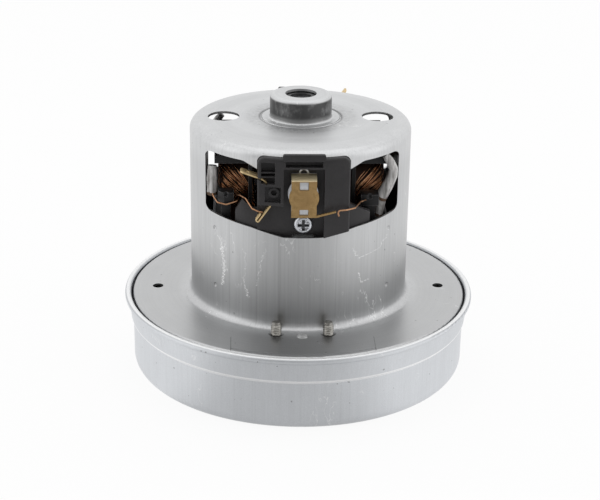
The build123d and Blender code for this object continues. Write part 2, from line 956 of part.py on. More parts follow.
def shaft_collars():
    """Insulating collar under the armature, and the tube between commutator and top bearing."""
    top_start = commutator_top + body_inset
    lower = ring(lower_collar_radius, shaft_radius, low_bearing_top, core_height)
    middle = ring(lower_collar_radius, shaft_radius, core_top, commutator_bottom - body_inset)
    upper = ring(lower_collar_radius, shaft_radius, top_start, top_bearing_bottom)
    return [lower, middle, upper]


def rotor_shaft():
    return rod(shaft_radius, shaft_bottom, top_bearing_top - overrun)


def brush_tube():
    """Tinned tube that guides the brush."""
    half = brush_width / 2 + running_gap
    tall = brush_tall / 2 + running_gap
    wall = tube_wall
    low, high = -tall, tall
    outer = box(-half - wall, half + wall, -tube_end, -tube_start, low - wall, high + wall)
    return outer - box(-half, half, -tube_end - overrun, -tube_start + overrun, low, high)


def carbon_brush():
    half = brush_width / 2
    tall = brush_tall / 2
    start = commutator_radius + running_gap / 2
    end = start + brush_length
    block = box(-half, half, -end, -start / 2, -tall, tall)
    return block - rod(start, -brush_tall, brush_tall)


def brush_spring():
    """Coil spring between the brush and the clip, as one fine helix of round wire."""
    start = commutator_radius + running_gap / 2 + brush_length
    wire = brush_width / 12
    radius = brush_width / 2 - 2 * wire
    length = tube_end - start - 2 * wire
    path = Helix(pitch=length / 4, height=length, radius=radius)
    section = Plane(origin=path @ 0, z_dir=path % 0) * Circle(wire)
    coil = sweep(section, path=path)
    return Pos(0, -start - wire, 0) * (Rot(90, 0, 0) * coil)


def holder_plan():
    """Plan of the holder's block: flat in the middle, sides falling back to the corners."""
    half = holder_half_width
    return [
        (-half, -holder_back, 0),
        (-half, -holder_side_face, 0),
        (-channel_half_width, -holder_face, 0),
        (channel_half_width, -holder_face, 0),
        (half, -holder_side_face, 0),
        (half, -holder_back, 0),
    ]


def holder_block():
    """Block in the window, its foot cut to the window's slope, its corners and top edge rounded."""
    top = gear_top - holder_gap
    foot = gear_foot + fit_gap
    bend = gear_bend + fit_gap
    half = holder_half_width
    wide = window_bend_half_width
    block = slab(holder_plan(), foot - overrun, top)
    window_foot_line = [
        (-wide, bend, 0),
        (-window_flat_half_width, foot, 0),
        (window_flat_half_width, foot, 0),
        (wide, bend, 0),
        (wide, top + overrun, 0),
        (-wide, top + overrun, 0),
    ]
    block &= front_slab(window_foot_line, 0, can_radius + overrun)
    top_edges = block.edges().filter_by(Axis.Y).filter_by(lambda edge: edge.center().Z > top - fit_gap)
    block = fillet(top_edges, holder_corner)
    uprights = block.edges().filter_by(Axis.Z)
    corners = uprights.filter_by(lambda edge: edge.center().Y < fit_gap - holder_side_face)
    corners = corners.filter_by(lambda edge: abs(edge.center().X) > half - fit_gap)
    block = fillet(corners, holder_side_corner)
    side_view = [
        (0, foot - overrun, 0),
        (holder_face, foot - overrun, 0),
        (holder_face, top, holder_edge),
        (0, top, 0),
    ]
    return block & side_slab(side_view, -wide, wide)


def left_wing():
    """Front view of the skirt's left end, with the peak and the notch that the coil lead crosses."""
    foot = gear_foot - 2 * can_wall
    bend = gear_bend - 2 * can_wall
    return [
        (0, foot, 0),
        (-window_flat_half_width, foot, 0),
        (-wing_reach, bend, 0),
        (-wing_reach, left_wing_side, 0),
        (-left_wing_tip_reach, left_wing_tip, 0),
        (-left_wing_notch_reach, left_wing_notch, 0),
        (0, left_wing_notch, 0),
    ]


def right_wing():
    foot = gear_foot - 2 * can_wall
    bend = gear_bend - 2 * can_wall
    return [
        (0, foot, 0),
        (window_flat_half_width, foot, 0),
        (wing_reach, bend, 0),
        (wing_reach, right_wing_side, 0),
        (holder_half_width, right_wing_shoulder, 0),
        (0, right_wing_shoulder, 0),
    ]


def tube_housing():
    """Box behind the block that carries the brush tube to the commutator."""
    half = housing_half_width
    tall = brush_tall / 2 + running_gap + tube_wall + housing_wall
    start = tube_start + housing_wall
    return box(-half, half, -channel_face, -start, -tall, tall)


def holder_lip():
    """Hook at the top that reaches over the can in front of the notch."""
    back = can_radius + running_gap
    front = back + lip_wall
    top = gear_top - holder_gap
    half = lip_half_width
    corners = [
        (-half, slot_top, 0),
        (half, slot_top, 0),
        (half, lip_top, lip_wall / 2),
        (-half, lip_top, lip_wall / 2),
    ]
    neck = box(-half, half, -front, -holder_back, slot_top, top)
    return front_slab(corners, back, front) + neck


def brush_holder(reach, rise, shift):
    """Moulded brush holder: block, channel for the clip, tube housing, recesses and skirt."""
    far = can_radius + 2 * overrun
    low = gear_foot - 2 * overrun
    skirt_outer = can_inner - fit_gap
    skirt = ring(skirt_outer, skirt_outer - wing_thickness, low, gear_top)
    body = holder_block()
    for wing in (left_wing(), right_wing()):
        body += skirt & front_slab(wing, 0, far)
    half = channel_half_width
    body -= box(-half, half, -far, -channel_face, low, channel_top)
    body -= box(-holder_half_width - overrun, -half, -far, -channel_face, low, housing_bottom)
    slot_back = holder_face - slot_depth
    body -= box(-slot_half_width, slot_half_width, -far, -slot_back, slot_bottom, slot_top)
    body += holder_lip()
    recess_back = holder_side_face - recess_depth
    body -= box(-recess_left, -recess_right, -far, -recess_back, recess_bottom, recess_top)
    for height in rib_heights:
        rib = box(-recess_left, -recess_right, -holder_side_face, -recess_back, height, height + rib_wall)
        body += rib
    pocket_back = holder_side_face - pocket_depth
    body -= box(-pocket_left, -pocket_right, -far, -pocket_back, pocket_bottom, pocket_top)
    hole_side = -(pocket_left + pocket_right) / 2 + pocket_depth / 2
    hole_height = (pocket_top + pocket_bottom) / 2 + pocket_depth / 2
    boss_front = -holder_side_face
    body += rod_y(pocket_boss_radius, hole_side, hole_height, boss_front, -pocket_back)
    body -= rod_y(pocket_hole_radius, hole_side, hole_height, -far, -pocket_back + pocket_depth)
    body += tube_housing()
    body -= holder_cuts(low)
    return body - terminal_slit(reach, rise, shift)


def holder_cuts(low):
    """Tube hole right through, room for the can's screw tab, screw hole."""
    far = can_radius + 2 * overrun
    half = brush_width / 2 + running_gap + tube_wall
    tall = brush_tall / 2 + running_gap + tube_wall
    cuts = box(-half, half, -far, -tube_start, -tall, tall)
    tab_half = screw_tab_half_width + fit_gap
    tab_top = gear_foot + screw_tab_height + fit_gap
    cuts += box(-tab_half, tab_half, -channel_face + holder_foot_wall, -holder_back + overrun, low, tab_top)
    clear_radius = screw_shank_radius + screw_clearance
    cuts += rod_y(clear_radius, 0, screw_height, -far, -holder_back + overrun)
    return cuts


def terminal_slit(reach, rise, shift):
    """Slit that follows the tab, open to the front above the pocket."""
    front = tab_front + shift + running_gap
    back = front - tab_width - 2 * running_gap
    wide = tab_wall + 2 * running_gap
    slit = tab_blade(reach, rise, wide, back, front)
    above = box(-can_radius, 0, -2 * can_radius, 0, pocket_top + wide, can_radius)
    return slit + (tab_blade(reach, rise, wide, back, can_radius + 2 * overrun) & above)


def side_slab(corners, left, right):
    """Outline in the side view, forward distance and height, reaching from X = left to right."""
    turned_corners = [(-forward, up, radius) for forward, up, radius in corners]
    face = Plane.YZ * outline(turned_corners)
    return Pos(left, 0, 0) * extrude(face, amount=right - left, dir=(1, 0, 0))


def brush_clip():
    """Brass cap over the end of the brush tube: sloped top, two holes and a tail to the coil lead."""
    back = tube_end + plate_wall
    front = back + clip_wall
    root = channel_face + plate_wall
    slope_end = front - clip_slope_depth
    top = clip_crease + clip_slope_rise
    half = clip_half_width
    inner_drop = clip_wall * math.hypot(clip_slope_depth, clip_slope_rise) / clip_slope_depth
    inner_crease = clip_crease + clip_wall * clip_slope_rise / clip_slope_depth - inner_drop
    cap = [
        (front, clip_bottom, 0),
        (front, clip_crease, 0),
        (slope_end, top, 0),
        (root, top, 0),
        (root, top - clip_wall, 0),
        (slope_end, top - clip_wall, 0),
        (back, inner_crease, 0),
        (back, clip_bottom, 0),
    ]
    clip = side_slab(cap, -half, half)
    clip += rod_y(clip_bulge_radius, 0, 0, -front, -back)
    hole = clip_hole_half_width
    low_top = clip_low_hole_bottom + clip_low_hole_tall
    high_bottom = clip_hole_top - clip_hole_tall
    clip -= box(-hole, hole, -front - overrun, -back + fit_gap, high_bottom, clip_hole_top)
    clip -= box(-hole, hole, -front - overrun, -back + fit_gap, clip_low_hole_bottom, low_top)
    tail_rise_end = clip_bottom + tail_rise
    tail = [
        (half - clip_wall, clip_bottom, 0),
        (half, clip_bottom, 0),
        (tail_reach, tail_rise_end, 0),
        (tail_reach, tail_rise_end + clip_wall, 0),
        (half - clip_wall, clip_bottom + clip_wall, 0),
    ]
    return clip + front_slab(tail, front - tail_width, front)


def clip_plate():
    """Tinned plate behind the clip: collar round the tube, arms hooked over its end, a pull loop."""
    half = brush_width / 2 + running_gap + tube_wall
    tall = brush_tall / 2 + running_gap + tube_wall
    back = channel_face
    front = back + plate_wall
    low, high = -tall, tall
    plate = box(-plate_half_width, plate_half_width, -front, -back, plate_bottom, plate_top)
    plate += rod_y(plate_bulge_radius, -plate_bulge_shift, 0, -front, -back)
    plate -= box(-half, half, -front - overrun, -back + overrun, low, high)
    arm = plate_arm_half_width
    end = tube_end + plate_wall
    plate += box(-arm, arm, -end, -back, high, high + plate_wall)
    plate += box(-arm, arm, -end, -tube_end, clip_hole_top - clip_hole_tall, high + plate_wall)
    low_top = clip_low_hole_bottom + clip_low_hole_tall
    plate += box(-arm, arm, -end, -back, low - plate_wall, low)
    plate += box(-arm, arm, -end, -tube_end, clip_low_hole_bottom, low_top)
    loop = Rot(90, 0, 0) * Torus(loop_radius, loop_wire)
    middle = (front + back) / 2
    hoop = Pos(0, -middle, plate_top) * loop
    reach = loop_radius + 2 * loop_wire
    return plate + (hoop & box(-reach, reach, -front, -back, plate_top, plate_top + reach))


def holder_screw():
    """Pan-head screw with a cross recess, through the holder into the can's tab."""
    section = [
        (0, -screw_length, 0),
        (screw_shank_radius, -screw_length, 0),
        (screw_shank_radius, 0, 0),
        (screw_head_radius, 0, 0),
        (screw_head_radius, screw_head_tall, screw_head_edge),
        (0, screw_head_tall, 0),
    ]
    screw = turned(section)
    reach = cross_length / 2
    half = cross_width / 2
    bottom = screw_head_tall - cross_depth
    screw -= box(-reach, reach, -half, half, bottom, screw_head_tall + overrun)
    screw -= box(-half, half, -reach, reach, bottom, screw_head_tall + overrun)
    return Pos(0, -channel_face, screw_height) * Rot(90, 0, 0) * screw


def strip(points, radius, wall, near, far):
    """Flat strip on edge: a path in the front view, thickened and given a depth."""
    path = FilletPolyline(*points, radius=radius)
    face = Plane.XZ * make_face(offset(path, wall / 2, side=Side.BOTH))
    return Pos(0, -near, 0) * extrude(face, amount=far - near, dir=(0, -1, 0))


def tab_blade(reach, rise, wall, near, far):
    """Upright foot and bent blade of the tab as a strip of a given thickness and depth."""
    tip = (-tab_place - reach, tab_bend_height + rise)
    bend = (-tab_place, tab_bend_height)
    foot = (-tab_place, housing_bottom - tab_wall)
    return strip([tip, bend, foot], tab_bend, wall, near, far)


def tab_terminal(reach, rise, shift):
    """Brass tab on edge in the holder: blade bent outwards above, with a round end, hook below."""
    turn = math.atan2(rise, reach)
    length = math.hypot(reach, rise)
    front = tab_front + shift
    middle = -front + tab_width / 2
    blade = tab_blade(reach, rise, tab_wall, front - tab_width, front)
    spin = Rot(0, math.degrees(turn), 0)
    tip = Pos(-tab_place - reach, middle, tab_bend_height + rise)
    end = Box(2 * tab_corner, 2 * tab_width, 2 * tab_width)
    rounded = RectangleRounded(length, tab_width, tab_corner)
    end -= Pos(length / 2, 0, 0) * extrude(rounded, amount=tab_width, both=True)
    blade -= tip * spin * end
    hole = Pos(length * (1 - tab_hole_share), 0, 0) * Cylinder(tab_hole_radius, tab_width)
    blade -= tip * spin * hole
    return blade + terminal_hook()


def terminal_hook():
    """Foot of the tab folded up into a hook that is crimped on the coil lead."""
    back = channel_face + running_gap
    leg = math.hypot(hook_run, hook_drop)
    along = (hook_run / leg, hook_drop / leg)
    fold = tab_wall + 2 * lead_radius
    foot = (-tab_place, housing_bottom - tab_wall)
    low = (foot[0] - hook_run, foot[1] - hook_drop)
    side = (low[0] - along[1] * fold, low[1] + along[0] * fold)
    end = (side[0] + along[0] * hook_return, side[1] + along[1] * hook_return)
    return strip([foot, low, side, end], tab_wall, tab_wall, back, back + hook_width)


def tube_along(points, radius, bend):
    """Round wire or sleeve core along a path through the points."""
    path = FilletPolyline(*points, radius=bend)
    section = Plane(origin=path @ 0, z_dir=path % 0) * Circle(radius)
    return sweep(section, path=path)


def sleeve(points):
    """Insulating sleeve on a coil lead, open at both ends."""
    outer = tube_along(points, sleeve_radius, sleeve_bend)
    return outer - tube_along(points, sleeve_bore, sleeve_bend)


def lead_wires():
    """Coil leads at one side: post to the tab's hook, and post to the clip's tail."""
    return [tube_along(points, lead_radius, lead_bend) for points in (hook_lead, loop_lead, tail_lead)]


def fan_back_plate():
    return ring(fan_radius, shaft_radius, fan_plate_height, fan_plate_top)


def fan_spacer():
    """Sleeve between the fan's top washer and the lower bearing."""
    return ring(spacer_radius, shaft_radius, fan_plate_top + fan_washer_wall, low_bearing_bottom)


def bearing_washer():
    """Spring washer between the top bearing's outer ring and the hub."""
    outer = bearing_radius - running_gap
    return ring(outer, bearing_radius - race_wall, top_bearing_top, top_bearing_top + top_washer_wall)


def write(name, shape):
    """Write one node; a list of shapes becomes one file of separate solids."""
    if isinstance(shape, list):
        shape = Compound(children=shape)
    export_step(shape, f"parts/{name}.step")


def half_turn(shape):
    """The same shape or list of shapes at the other side of the shaft."""
    if isinstance(shape, list):
        return [to_rear(item) for item in shape]
    return to_rear(shape)


def lift(shape):
    """Brush gear raised from the brush's axis to its height in the motor."""
    place = Pos(0, 0, brush_height)
    if isinstance(shape, list):
        return [place * item for item in shape]
    return place * shape


def write_sides(name, shape):
    """Write the right-hand node and its copy at the left."""
    write(f"{name}_right", shape)
    write(f"{name}_left", half_turn(shape))


def write_gear(name, shape, rear=None):
    """Write a node of the front brush gear, and the rear one, a turned copy unless it is given."""
    write(f"{name}_front", lift(shape))
    write(f"{name}_rear", half_turn(lift(shape if rear is None else rear)))


os.makedirs("parts", exist_ok=True)

write("fan_cover", fan_cover())
write("motor_can", motor_can())
write("field_core", field_core())
write_sides("field_coil", field_coil())
write_sides("upper_former", upper_former())
write_sides("lower_former", lower_former())
write("lower_bearing_outer_ring", bearing_outer(low_bearing_bottom, bearing_radius))
write("lower_bearing_inner_ring", bearing_inner(low_bearing_bottom))
write("top_bearing_outer_ring", bearing_outer(top_bearing_bottom, bearing_radius))
write("top_bearing_inner_ring", bearing_inner(top_bearing_bottom))
write("top_bearing_washer", bearing_washer())
write("bearing_bracket", bearing_bracket())
write("bracket_screws", bracket_screws())
write("guide_vane_plate", diffuser())
write("fan_back_plate", fan_back_plate())
write("fan_blades", on_circle(fan_blade(), fan_blade_count))
write("fan_shroud", fan_shroud())
write("fan_nut", fan_nut())
write("fan_washers", fan_washers())
write("fan_spacer", fan_spacer())
write("rotor_shaft", rotor_shaft())
write("shaft_collars", shaft_collars())
write("armature_core", armature_core())
write("armature_winding", armature_winding())
write("commutator_bars", commutator_bars())
write("commutator_body", commutator_body())
write_gear(
    "brush_holder",
    brush_holder(tab_reach, tab_rise, 0),
    brush_holder(tab_rear_reach, tab_rear_rise, tab_rear_shift),
)
write_gear("brush_tube", brush_tube())
write_gear("carbon_brush", carbon_brush())
write_gear("brush_spring", brush_spring())
write_gear("brush_clip", brush_clip())
write_gear("clip_plate", clip_plate())
write_gear("holder_screw", holder_screw())
write_gear("lead_wires", lead_wires())
write_gear(
    "tab_terminal",
    tab_terminal(tab_reach, tab_rise, 0),
    tab_terminal(tab_rear_reach, tab_rear_rise, tab_rear_shift),
)
straight = lift(sleeve(straight_sleeve))
bent = lift([sleeve(bent_sleeve), sleeve(short_sleeve)])
write("lead_sleeve_front_left", straight)
write("lead_sleeve_front_right", bent)
write("lead_sleeve_rear_right", half_turn(straight))
write("lead_sleeve_rear_left", half_turn(bent))
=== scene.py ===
import json
import math
import random

import bpy
from mathutils import Matrix, Vector

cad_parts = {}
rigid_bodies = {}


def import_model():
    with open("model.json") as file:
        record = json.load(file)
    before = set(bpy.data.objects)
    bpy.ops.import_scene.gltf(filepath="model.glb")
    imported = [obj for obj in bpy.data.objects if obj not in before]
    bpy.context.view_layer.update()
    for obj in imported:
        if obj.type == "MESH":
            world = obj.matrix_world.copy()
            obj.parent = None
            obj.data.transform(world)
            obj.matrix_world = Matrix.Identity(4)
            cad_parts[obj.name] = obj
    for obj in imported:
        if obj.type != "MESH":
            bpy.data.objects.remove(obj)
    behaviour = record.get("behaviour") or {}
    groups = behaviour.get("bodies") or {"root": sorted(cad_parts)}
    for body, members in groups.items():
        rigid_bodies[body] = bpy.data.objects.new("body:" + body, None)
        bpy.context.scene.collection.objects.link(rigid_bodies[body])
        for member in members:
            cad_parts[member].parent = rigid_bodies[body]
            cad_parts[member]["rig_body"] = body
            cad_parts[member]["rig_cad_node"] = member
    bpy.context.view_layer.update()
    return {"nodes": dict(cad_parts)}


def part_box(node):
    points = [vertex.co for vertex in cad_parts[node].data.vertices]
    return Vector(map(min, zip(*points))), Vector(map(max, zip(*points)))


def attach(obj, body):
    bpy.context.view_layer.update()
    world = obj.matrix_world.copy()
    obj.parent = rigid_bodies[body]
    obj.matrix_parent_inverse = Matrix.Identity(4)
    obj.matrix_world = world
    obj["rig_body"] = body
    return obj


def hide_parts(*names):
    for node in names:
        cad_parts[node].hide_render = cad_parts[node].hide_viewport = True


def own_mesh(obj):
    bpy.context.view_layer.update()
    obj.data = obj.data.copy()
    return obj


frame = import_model()
nodes = frame["nodes"]
mm = 0.001
motor = "motor_frame"
ends = ("front", "rear")
sides = ("left", "right")
print("frame loaded:", len(nodes), "nodes")


class Signal:   # a shader socket that works in sums
    def __init__(self, paint, socket):
        self.paint, self.socket = paint, socket

    def math(self, operation, *others, clamp=False):
        return self.paint.node("Math", {"operation": operation, "use_clamp": clamp}, [self, *others])

    def __add__(self, other):
        return self.math("ADD", other)

    def __sub__(self, other):
        return self.math("SUBTRACT", other)

    def __rsub__(self, other):
        return self.paint.node("Math", {"operation": "SUBTRACT"}, [other, self])

    def __mul__(self, other):
        return self.math("MULTIPLY", other)

    def __truediv__(self, other):
        return self.math("DIVIDE", other)

    __radd__, __rmul__ = __add__, __mul__

    def out(self, name):   # another output of the same node
        return Signal(self.paint, self.socket.node.outputs[name])


class Paint:   # the node tree of a material or of the world; every node comes from node()
    def __init__(self, owner, settings=None):
        owner.use_nodes = True
        self.owner, self.tree = owner, owner.node_tree
        self.shader = self.tree.nodes.get("Principled BSDF") or self.tree.nodes.get("Background")
        for socket, value in (settings or {}).items():
            self.shader.inputs[socket].default_value = value

    def node(self, kind, settings=None, feeds=None, out=0):
        made = self.tree.nodes.new("ShaderNode" + kind)
        for key, value in (settings or {}).items():
            if key == "stops":   # place and grey level or colour of each
                ramp = made.color_ramp
                while len(ramp.elements) < len(value):
                    ramp.elements.new(0.5)
                for element, (place, level) in zip(ramp.elements, value):
                    element.position = place
                    element.color = (*level, 1) if isinstance(level, tuple) else (level, level, level, 1)
            else:
                setattr(made, key, value)
        pairs = feeds.items() if isinstance(feeds, dict) else enumerate(feeds or [])
        for slot, value in pairs:
            if isinstance(value, Signal):
                self.tree.links.new(value.socket, made.inputs[slot])
            elif value is not None:
                made.inputs[slot].default_value = value
        return Signal(self, made.outputs[out])

    def place(self):   # where the point is, in the piece's own space
        return self.node("TexCoord", out="Object")

    def parts(self, vector):
        split = self.node("SeparateXYZ", None, [vector])
        return split.out("X"), split.out("Y"), split.out("Z")

    def join(self, x, y, z):
        return self.node("CombineXYZ", None, [x, y, z])

    def noise(self, vector, scale, detail=4, rough=0.55, stretch=(1, 1, 1)):
        if stretch != (1, 1, 1):
            vector = self.node("VectorMath", {"operation": "MULTIPLY"}, [vector, stretch])
        feeds = {"Vector": vector, "Scale": scale, "Detail": detail, "Roughness": rough}
        return self.node("TexNoise", None, feeds)

    def ramp(self, value, *stops):
        return self.node("ValToRGB", {"stops": stops}, [value])

    def span(self, value, low, high):   # 0 at low, 1 at high
        feeds = {"Value": value, "From Min": low, "From Max": high}
        return self.node("MapRange", {"clamp": True, "interpolation_type": "SMOOTHSTEP"}, feeds)

    def blend(self, share, first, second):
        return self.node("Mix", {"data_type": "RGBA"}, {0: share, 6: first, 7: second}, out=2)

    def bump(self, height, strength, distance):
        return self.node("Bump", None, {"Strength": strength, "Distance": distance, "Height": height})

    def dimSide(self, direction, heading, edge):   # 1 towards the room's dim side, 0 elsewhere
        straight = self.node("VectorMath", {"operation": "NORMALIZE"}, [direction])
        across = self.node("VectorMath", {"operation": "DOT_PRODUCT"}, [straight, heading], out="Value")
        return self.span(across, *edge)

    def feed(self, **links):
        names = {"color": "Base Color", "rough": "Roughness", "normal": "Normal"}
        for key, signal in links.items():
            self.tree.links.new(signal.socket, self.shader.inputs[names[key]])
        return self.owner


def surface(name, settings):
    return Paint(bpy.data.materials.new(name), settings)


def grey(level):
    return (level, level, level, 1)


def tint(level, color):   # a colour made lighter or darker
    return tuple(level * share for share in color)


# finishes: drawn and pressed steel; heights, radii and widths are in mm

steelLook = {
    "light": 0.70, "dark": 0.53, "cast": (0.99, 1.0, 1.01), "levels": (0.30, 0.68), "rough": 0.38,
    # noises: scale, detail, roughness, stretch
    "fine": (1500, 3, 0.6, (1, 1, 0.02)), "wide": (260, 3, 0.6, (1, 1, 0.06)),   # streaks up the wall
    "rings": (1700, 3, 0.6), "bands": (330, 2, 0.5),   # turned marks of the flat faces
    "grain": (2600, 2, 0.6), "cloud": (45, 4, 0.6),
    "streaks": 0.50, "wallShares": (0.62, 0.38), "flatShares": (0.22, 0.16, 0.36, 0.26),
    "discHeight": (97.9, 98.4), "flangeHeight": (29.0, 29.2), "flangeRadius": (44.5, 47.5),
    "flangeDull": 0.24, "dullAndShade": 0.10,
    "drag": (800, 1, 0.5, (1, 1, 0.004)), "dragSpan": (0.64, 0.70), "dragTop": (88, 93),
    "drags": 0.14, "dragDark": 0.16,
    "pit": (620, 1, 0.4), "pitSpan": (0.775, 0.80), "pits": 0.6, "pitDark": 0.3,
    "vein": (170, 3, 0.6, (1, 1, 0.4)), "veinWidth": (0.002, 0.010),
    "patch": (60, 2, 0.5), "patchSpan": (0.60, 0.68), "veins": 0.5,
    "edges": (), "edgeCore": 0.4,   # painted highlights along edges: height, half width, share
    "hubRadius": (12.6, 13.4), "hubFoot": (98.7, 99.2), "hubHead": (106.0, 106.8),
    "hubBand": (99.6, 101.4), "hubDark": 0.10, "hubLightShare": 0.55, "hubShine": 0.8,
    "hubPatch": (260, 4, 0.62, (1, 1, 0.7)), "hubSpan": (0.44, 0.80),
    "topHeight": (96.6, 97.0), "grooveRadius": 15.4, "grooveWidth": (0.1, 0.9), "groove": 0.50,
    "rippleRise": (15.2, 16.0), "rippleFall": (17.0, 24.0), "ripple": (1500, 2, 0.6),
    "rippleSpan": (0.45, 0.6), "rippleShares": (0.08, 0.20), "rippleRadius": 20, "rippleLong": 4,
    "markDark": 0.12,
    # how each layer changes the roughness and the relief; the relief's strength and its depth in metres
    "levelRough": 0.22, "wearAndHighlightRough": 0.25, "hubRough": 0.10, "discRough": 0.10, "flangeRough": 0.04,
    "grainRelief": 0.5, "grooveRelief": 0.8, "relief": (0.10, 0.0002),
}
coverLook = {
    **steelLook, "light": 0.77, "dark": 0.62, "cast": (0.97, 0.995, 1.03), "rough": 0.44,
    # painted highlight lines along the cover's step, rim bead and bottom edge
    "streaks": 0.24, "drags": 0.04, "edges": ((19.6, 0.9, 0.95), (29.8, 0.35, 0.7), (0.6, 0.9, 0.6)),
}
# what only the can carries: its marks, and painted shade that darkens the wall all over, and more below
wallMarksAndShade = {
    "shadeEven": 0.12, "shadeMore": 0.36, "shadeFall": (36.0, 66.0), "shadeFoot": (30.0, 35.0),
    "shadeTop": (84, 92), "footShare": 0.3,
    "seat": (9.5, 44.8), "seatInner": (1.8, 2.1), "seatOuter": (2.6, 3.2), "seatDark": 0.75,
    "pad": (26.0, 47.5), "padWidth": (0.06, 0.24), "padFade": 0.5, "padDark": 0.45, "markDark": 0.05,
    "wobble": (700, 3, 0.6), "wobbleReach": 3.2, "shake": (2600, 2, 0.6), "shakeReach": 0.8,
    "flakeSpan": (0.44, 0.55), "flakeLeast": 0.03, "frontBefore": -20,
    # scratches: x, z of both ends, half width, strength
    "scratches": [
        (-29.3, 58.0, -28.6, 49.5, 0.80, 0.95), (-28.6, 49.5, -29.3, 43.0, 0.50, 1.00),
        (-28.9, 61.0, -27.6, 57.0, 0.40, 0.35), (-33.4, 57.5, -31.2, 54.0, 0.16, 0.45),
        (-21.6, 60.0, -20.4, 53.5, 0.16, 0.50), (-20.4, 53.5, -21.4, 47.0, 0.14, 0.50),
        (-21.4, 47.0, -19.8, 41.0, 0.34, 0.85), (-14.3, 59.6, -16.6, 46.0, 0.20, 0.85),
        (-13.2, 61.5, -14.3, 56.0, 0.16, 0.60), (31.4, 62.1, 28.4, 57.8, 0.22, 0.85),
        (28.4, 57.8, 20.3, 56.2, 0.20, 0.80), (18.2, 60.4, 19.7, 57.4, 0.26, 0.80),
        (20.4, 50.2, 22.0, 46.4, 0.45, 0.95), (22.0, 46.4, 24.7, 46.9, 0.40, 0.90),
        (11.2, 57.6, 14.0, 55.4, 0.10, 0.45), (-1.4, 47.6, 0.2, 46.2, 0.14, 0.55),
    ],
}


def steelGrain(paint, spot, turned, look):   # of the wall and of the flat faces, and the noises in them
    fine, wide = paint.noise(spot, *look["fine"]), paint.noise(spot, *look["wide"])
    grain, cloud = paint.noise(spot, *look["grain"]), paint.noise(spot, *look["cloud"])
    streaks, (grainShare, cloudShare) = look["streaks"], look["wallShares"]
    wall = fine * streaks + wide * (streaks / 2)
    wall = wall + grain * (grainShare - streaks) + cloud * (cloudShare - streaks / 2)
    ringShare, bandShare, grainShare, cloudShare = look["flatShares"]
    flat = paint.noise(turned, *look["rings"]) * ringShare + paint.noise(turned, *look["bands"]) * bandShare
    flat = flat + grain * grainShare + cloud * cloudShare
    return wall, flat, fine, grain


# painted shade on the can's wall: darker all over, most below, eased at the foot and gone near the top
def wallPaintedShade(paint, high, marksAndShade):
    shaded = (1 - paint.span(high, *marksAndShade["shadeFall"])) * marksAndShade["shadeMore"] + marksAndShade["shadeEven"]
    clear = paint.span(high, *marksAndShade["shadeFoot"]) * (1 - marksAndShade["footShare"]) + marksAndShade["footShare"]
    return shaded * clear * (1 - paint.span(high, *marksAndShade["shadeTop"]))


def flangeMarks(paint, x, y, marksAndShade):   # rings round the screw seats, lines at the ends of the raised pad
    besideX, besideY = x.math("ABSOLUTE") / mm, y.math("ABSOLUTE") / mm
    seatX, seatY = besideX - marksAndShade["seat"][0], besideY - marksAndShade["seat"][1]
    seat = (seatX * seatX + seatY * seatY).math("SQRT")
    ring = paint.span(seat, *marksAndShade["seatInner"]) * (1 - paint.span(seat, *marksAndShade["seatOuter"]))
    padEnd, padFoot = marksAndShade["pad"]
    line = 1 - paint.span((besideX - padEnd).math("ABSOLUTE"), *marksAndShade["padWidth"])
    line = line * paint.span(besideY, padFoot - marksAndShade["padFade"], padFoot)
    return ring * marksAndShade["seatDark"] + line * marksAndShade["padDark"]


def veinsAndHighlights(paint, spot, high, look):   # fine worn veins, and painted highlights along edges
    veins = paint.noise(spot, *look["vein"]) - 0.5
    line = 1 - paint.span(veins.math("ABSOLUTE"), *look["veinWidth"])
    wearAndHighlight = line * paint.span(paint.noise(spot, *look["patch"]), *look["patchSpan"]) * look["veins"]
    for edge, half, share in look["edges"]:
        beside = (high - edge).math("ABSOLUTE")
        wearAndHighlight = wearAndHighlight.math("MAXIMUM", (1 - paint.span(beside, half * look["edgeCore"], half)) * share)
    return wearAndHighlight


def strokes(paint, x, z, scratches):   # 1 on the scratches, 0 beside them
    total = None
    for startX, startZ, endX, endZ, half, strength in scratches:
        alongX, alongZ = endX - startX, endZ - startZ
        size = alongX ** 2 + alongZ ** 2
        fromX, fromZ = x - startX, z - startZ
        reach = (fromX * (alongX / size) + fromZ * (alongZ / size)).math("ADD", 0.0, clamp=True)
        offX, offZ = fromX - reach * alongX, fromZ - reach * alongZ
        away = (offX * offX + offZ * offZ).math("SQRT")
        mark = (1 - away / half).math("MULTIPLY", strength, clamp=True)
        total = mark if total is None else total.math("MAXIMUM", mark)
    return total


def scratched(paint, spot, x, y, high, marksAndShade):   # flaky scratches on the front of the wall
    wobble = paint.noise(spot, *marksAndShade["wobble"]) - 0.5
    shake = paint.noise(spot, *marksAndShade["shake"])
    flaky = paint.span(shake, *marksAndShade["flakeSpan"]) * (1 - marksAndShade["flakeLeast"]) + marksAndShade["flakeLeast"]
    across, up = x / mm + wobble * marksAndShade["wobbleReach"], high + shake * marksAndShade["shakeReach"]
    isFront = y.math("LESS_THAN", marksAndShade["frontBefore"] * mm)
    return strokes(paint, across, up, marksAndShade["scratches"]) * flaky * isFront


def hubPolish(paint, spot, high, look):   # dark side with lighter patches and a lighter foot
    patches = paint.span(paint.noise(spot, *look["hubPatch"]), *look["hubSpan"])
    foot = 1 - paint.span(high, *look["hubBand"])
    shine = (patches * look["hubShine"]).math("MAXIMUM", foot * look["hubShine"])
    return paint.blend(shine, grey(look["hubDark"]), grey(look["light"] * look["hubLightShare"]))


def hubRipples(paint, x, y, radius, look):   # short radial folds round the hub's groove
    turned = paint.node("Math", {"operation": "ARCTAN2"}, [x, y]) * (look["rippleRadius"] * mm)
    folds = paint.noise(paint.join(turned, radius / look["rippleLong"], 0.0), *look["ripple"])
    away = radius / mm
    near = paint.span(away, *look["rippleRise"]) * (1 - paint.span(away, *look["rippleFall"]))
    evenly, more = look["rippleShares"]
    return near * (evenly + paint.span(folds, *look["rippleSpan"]) * more)


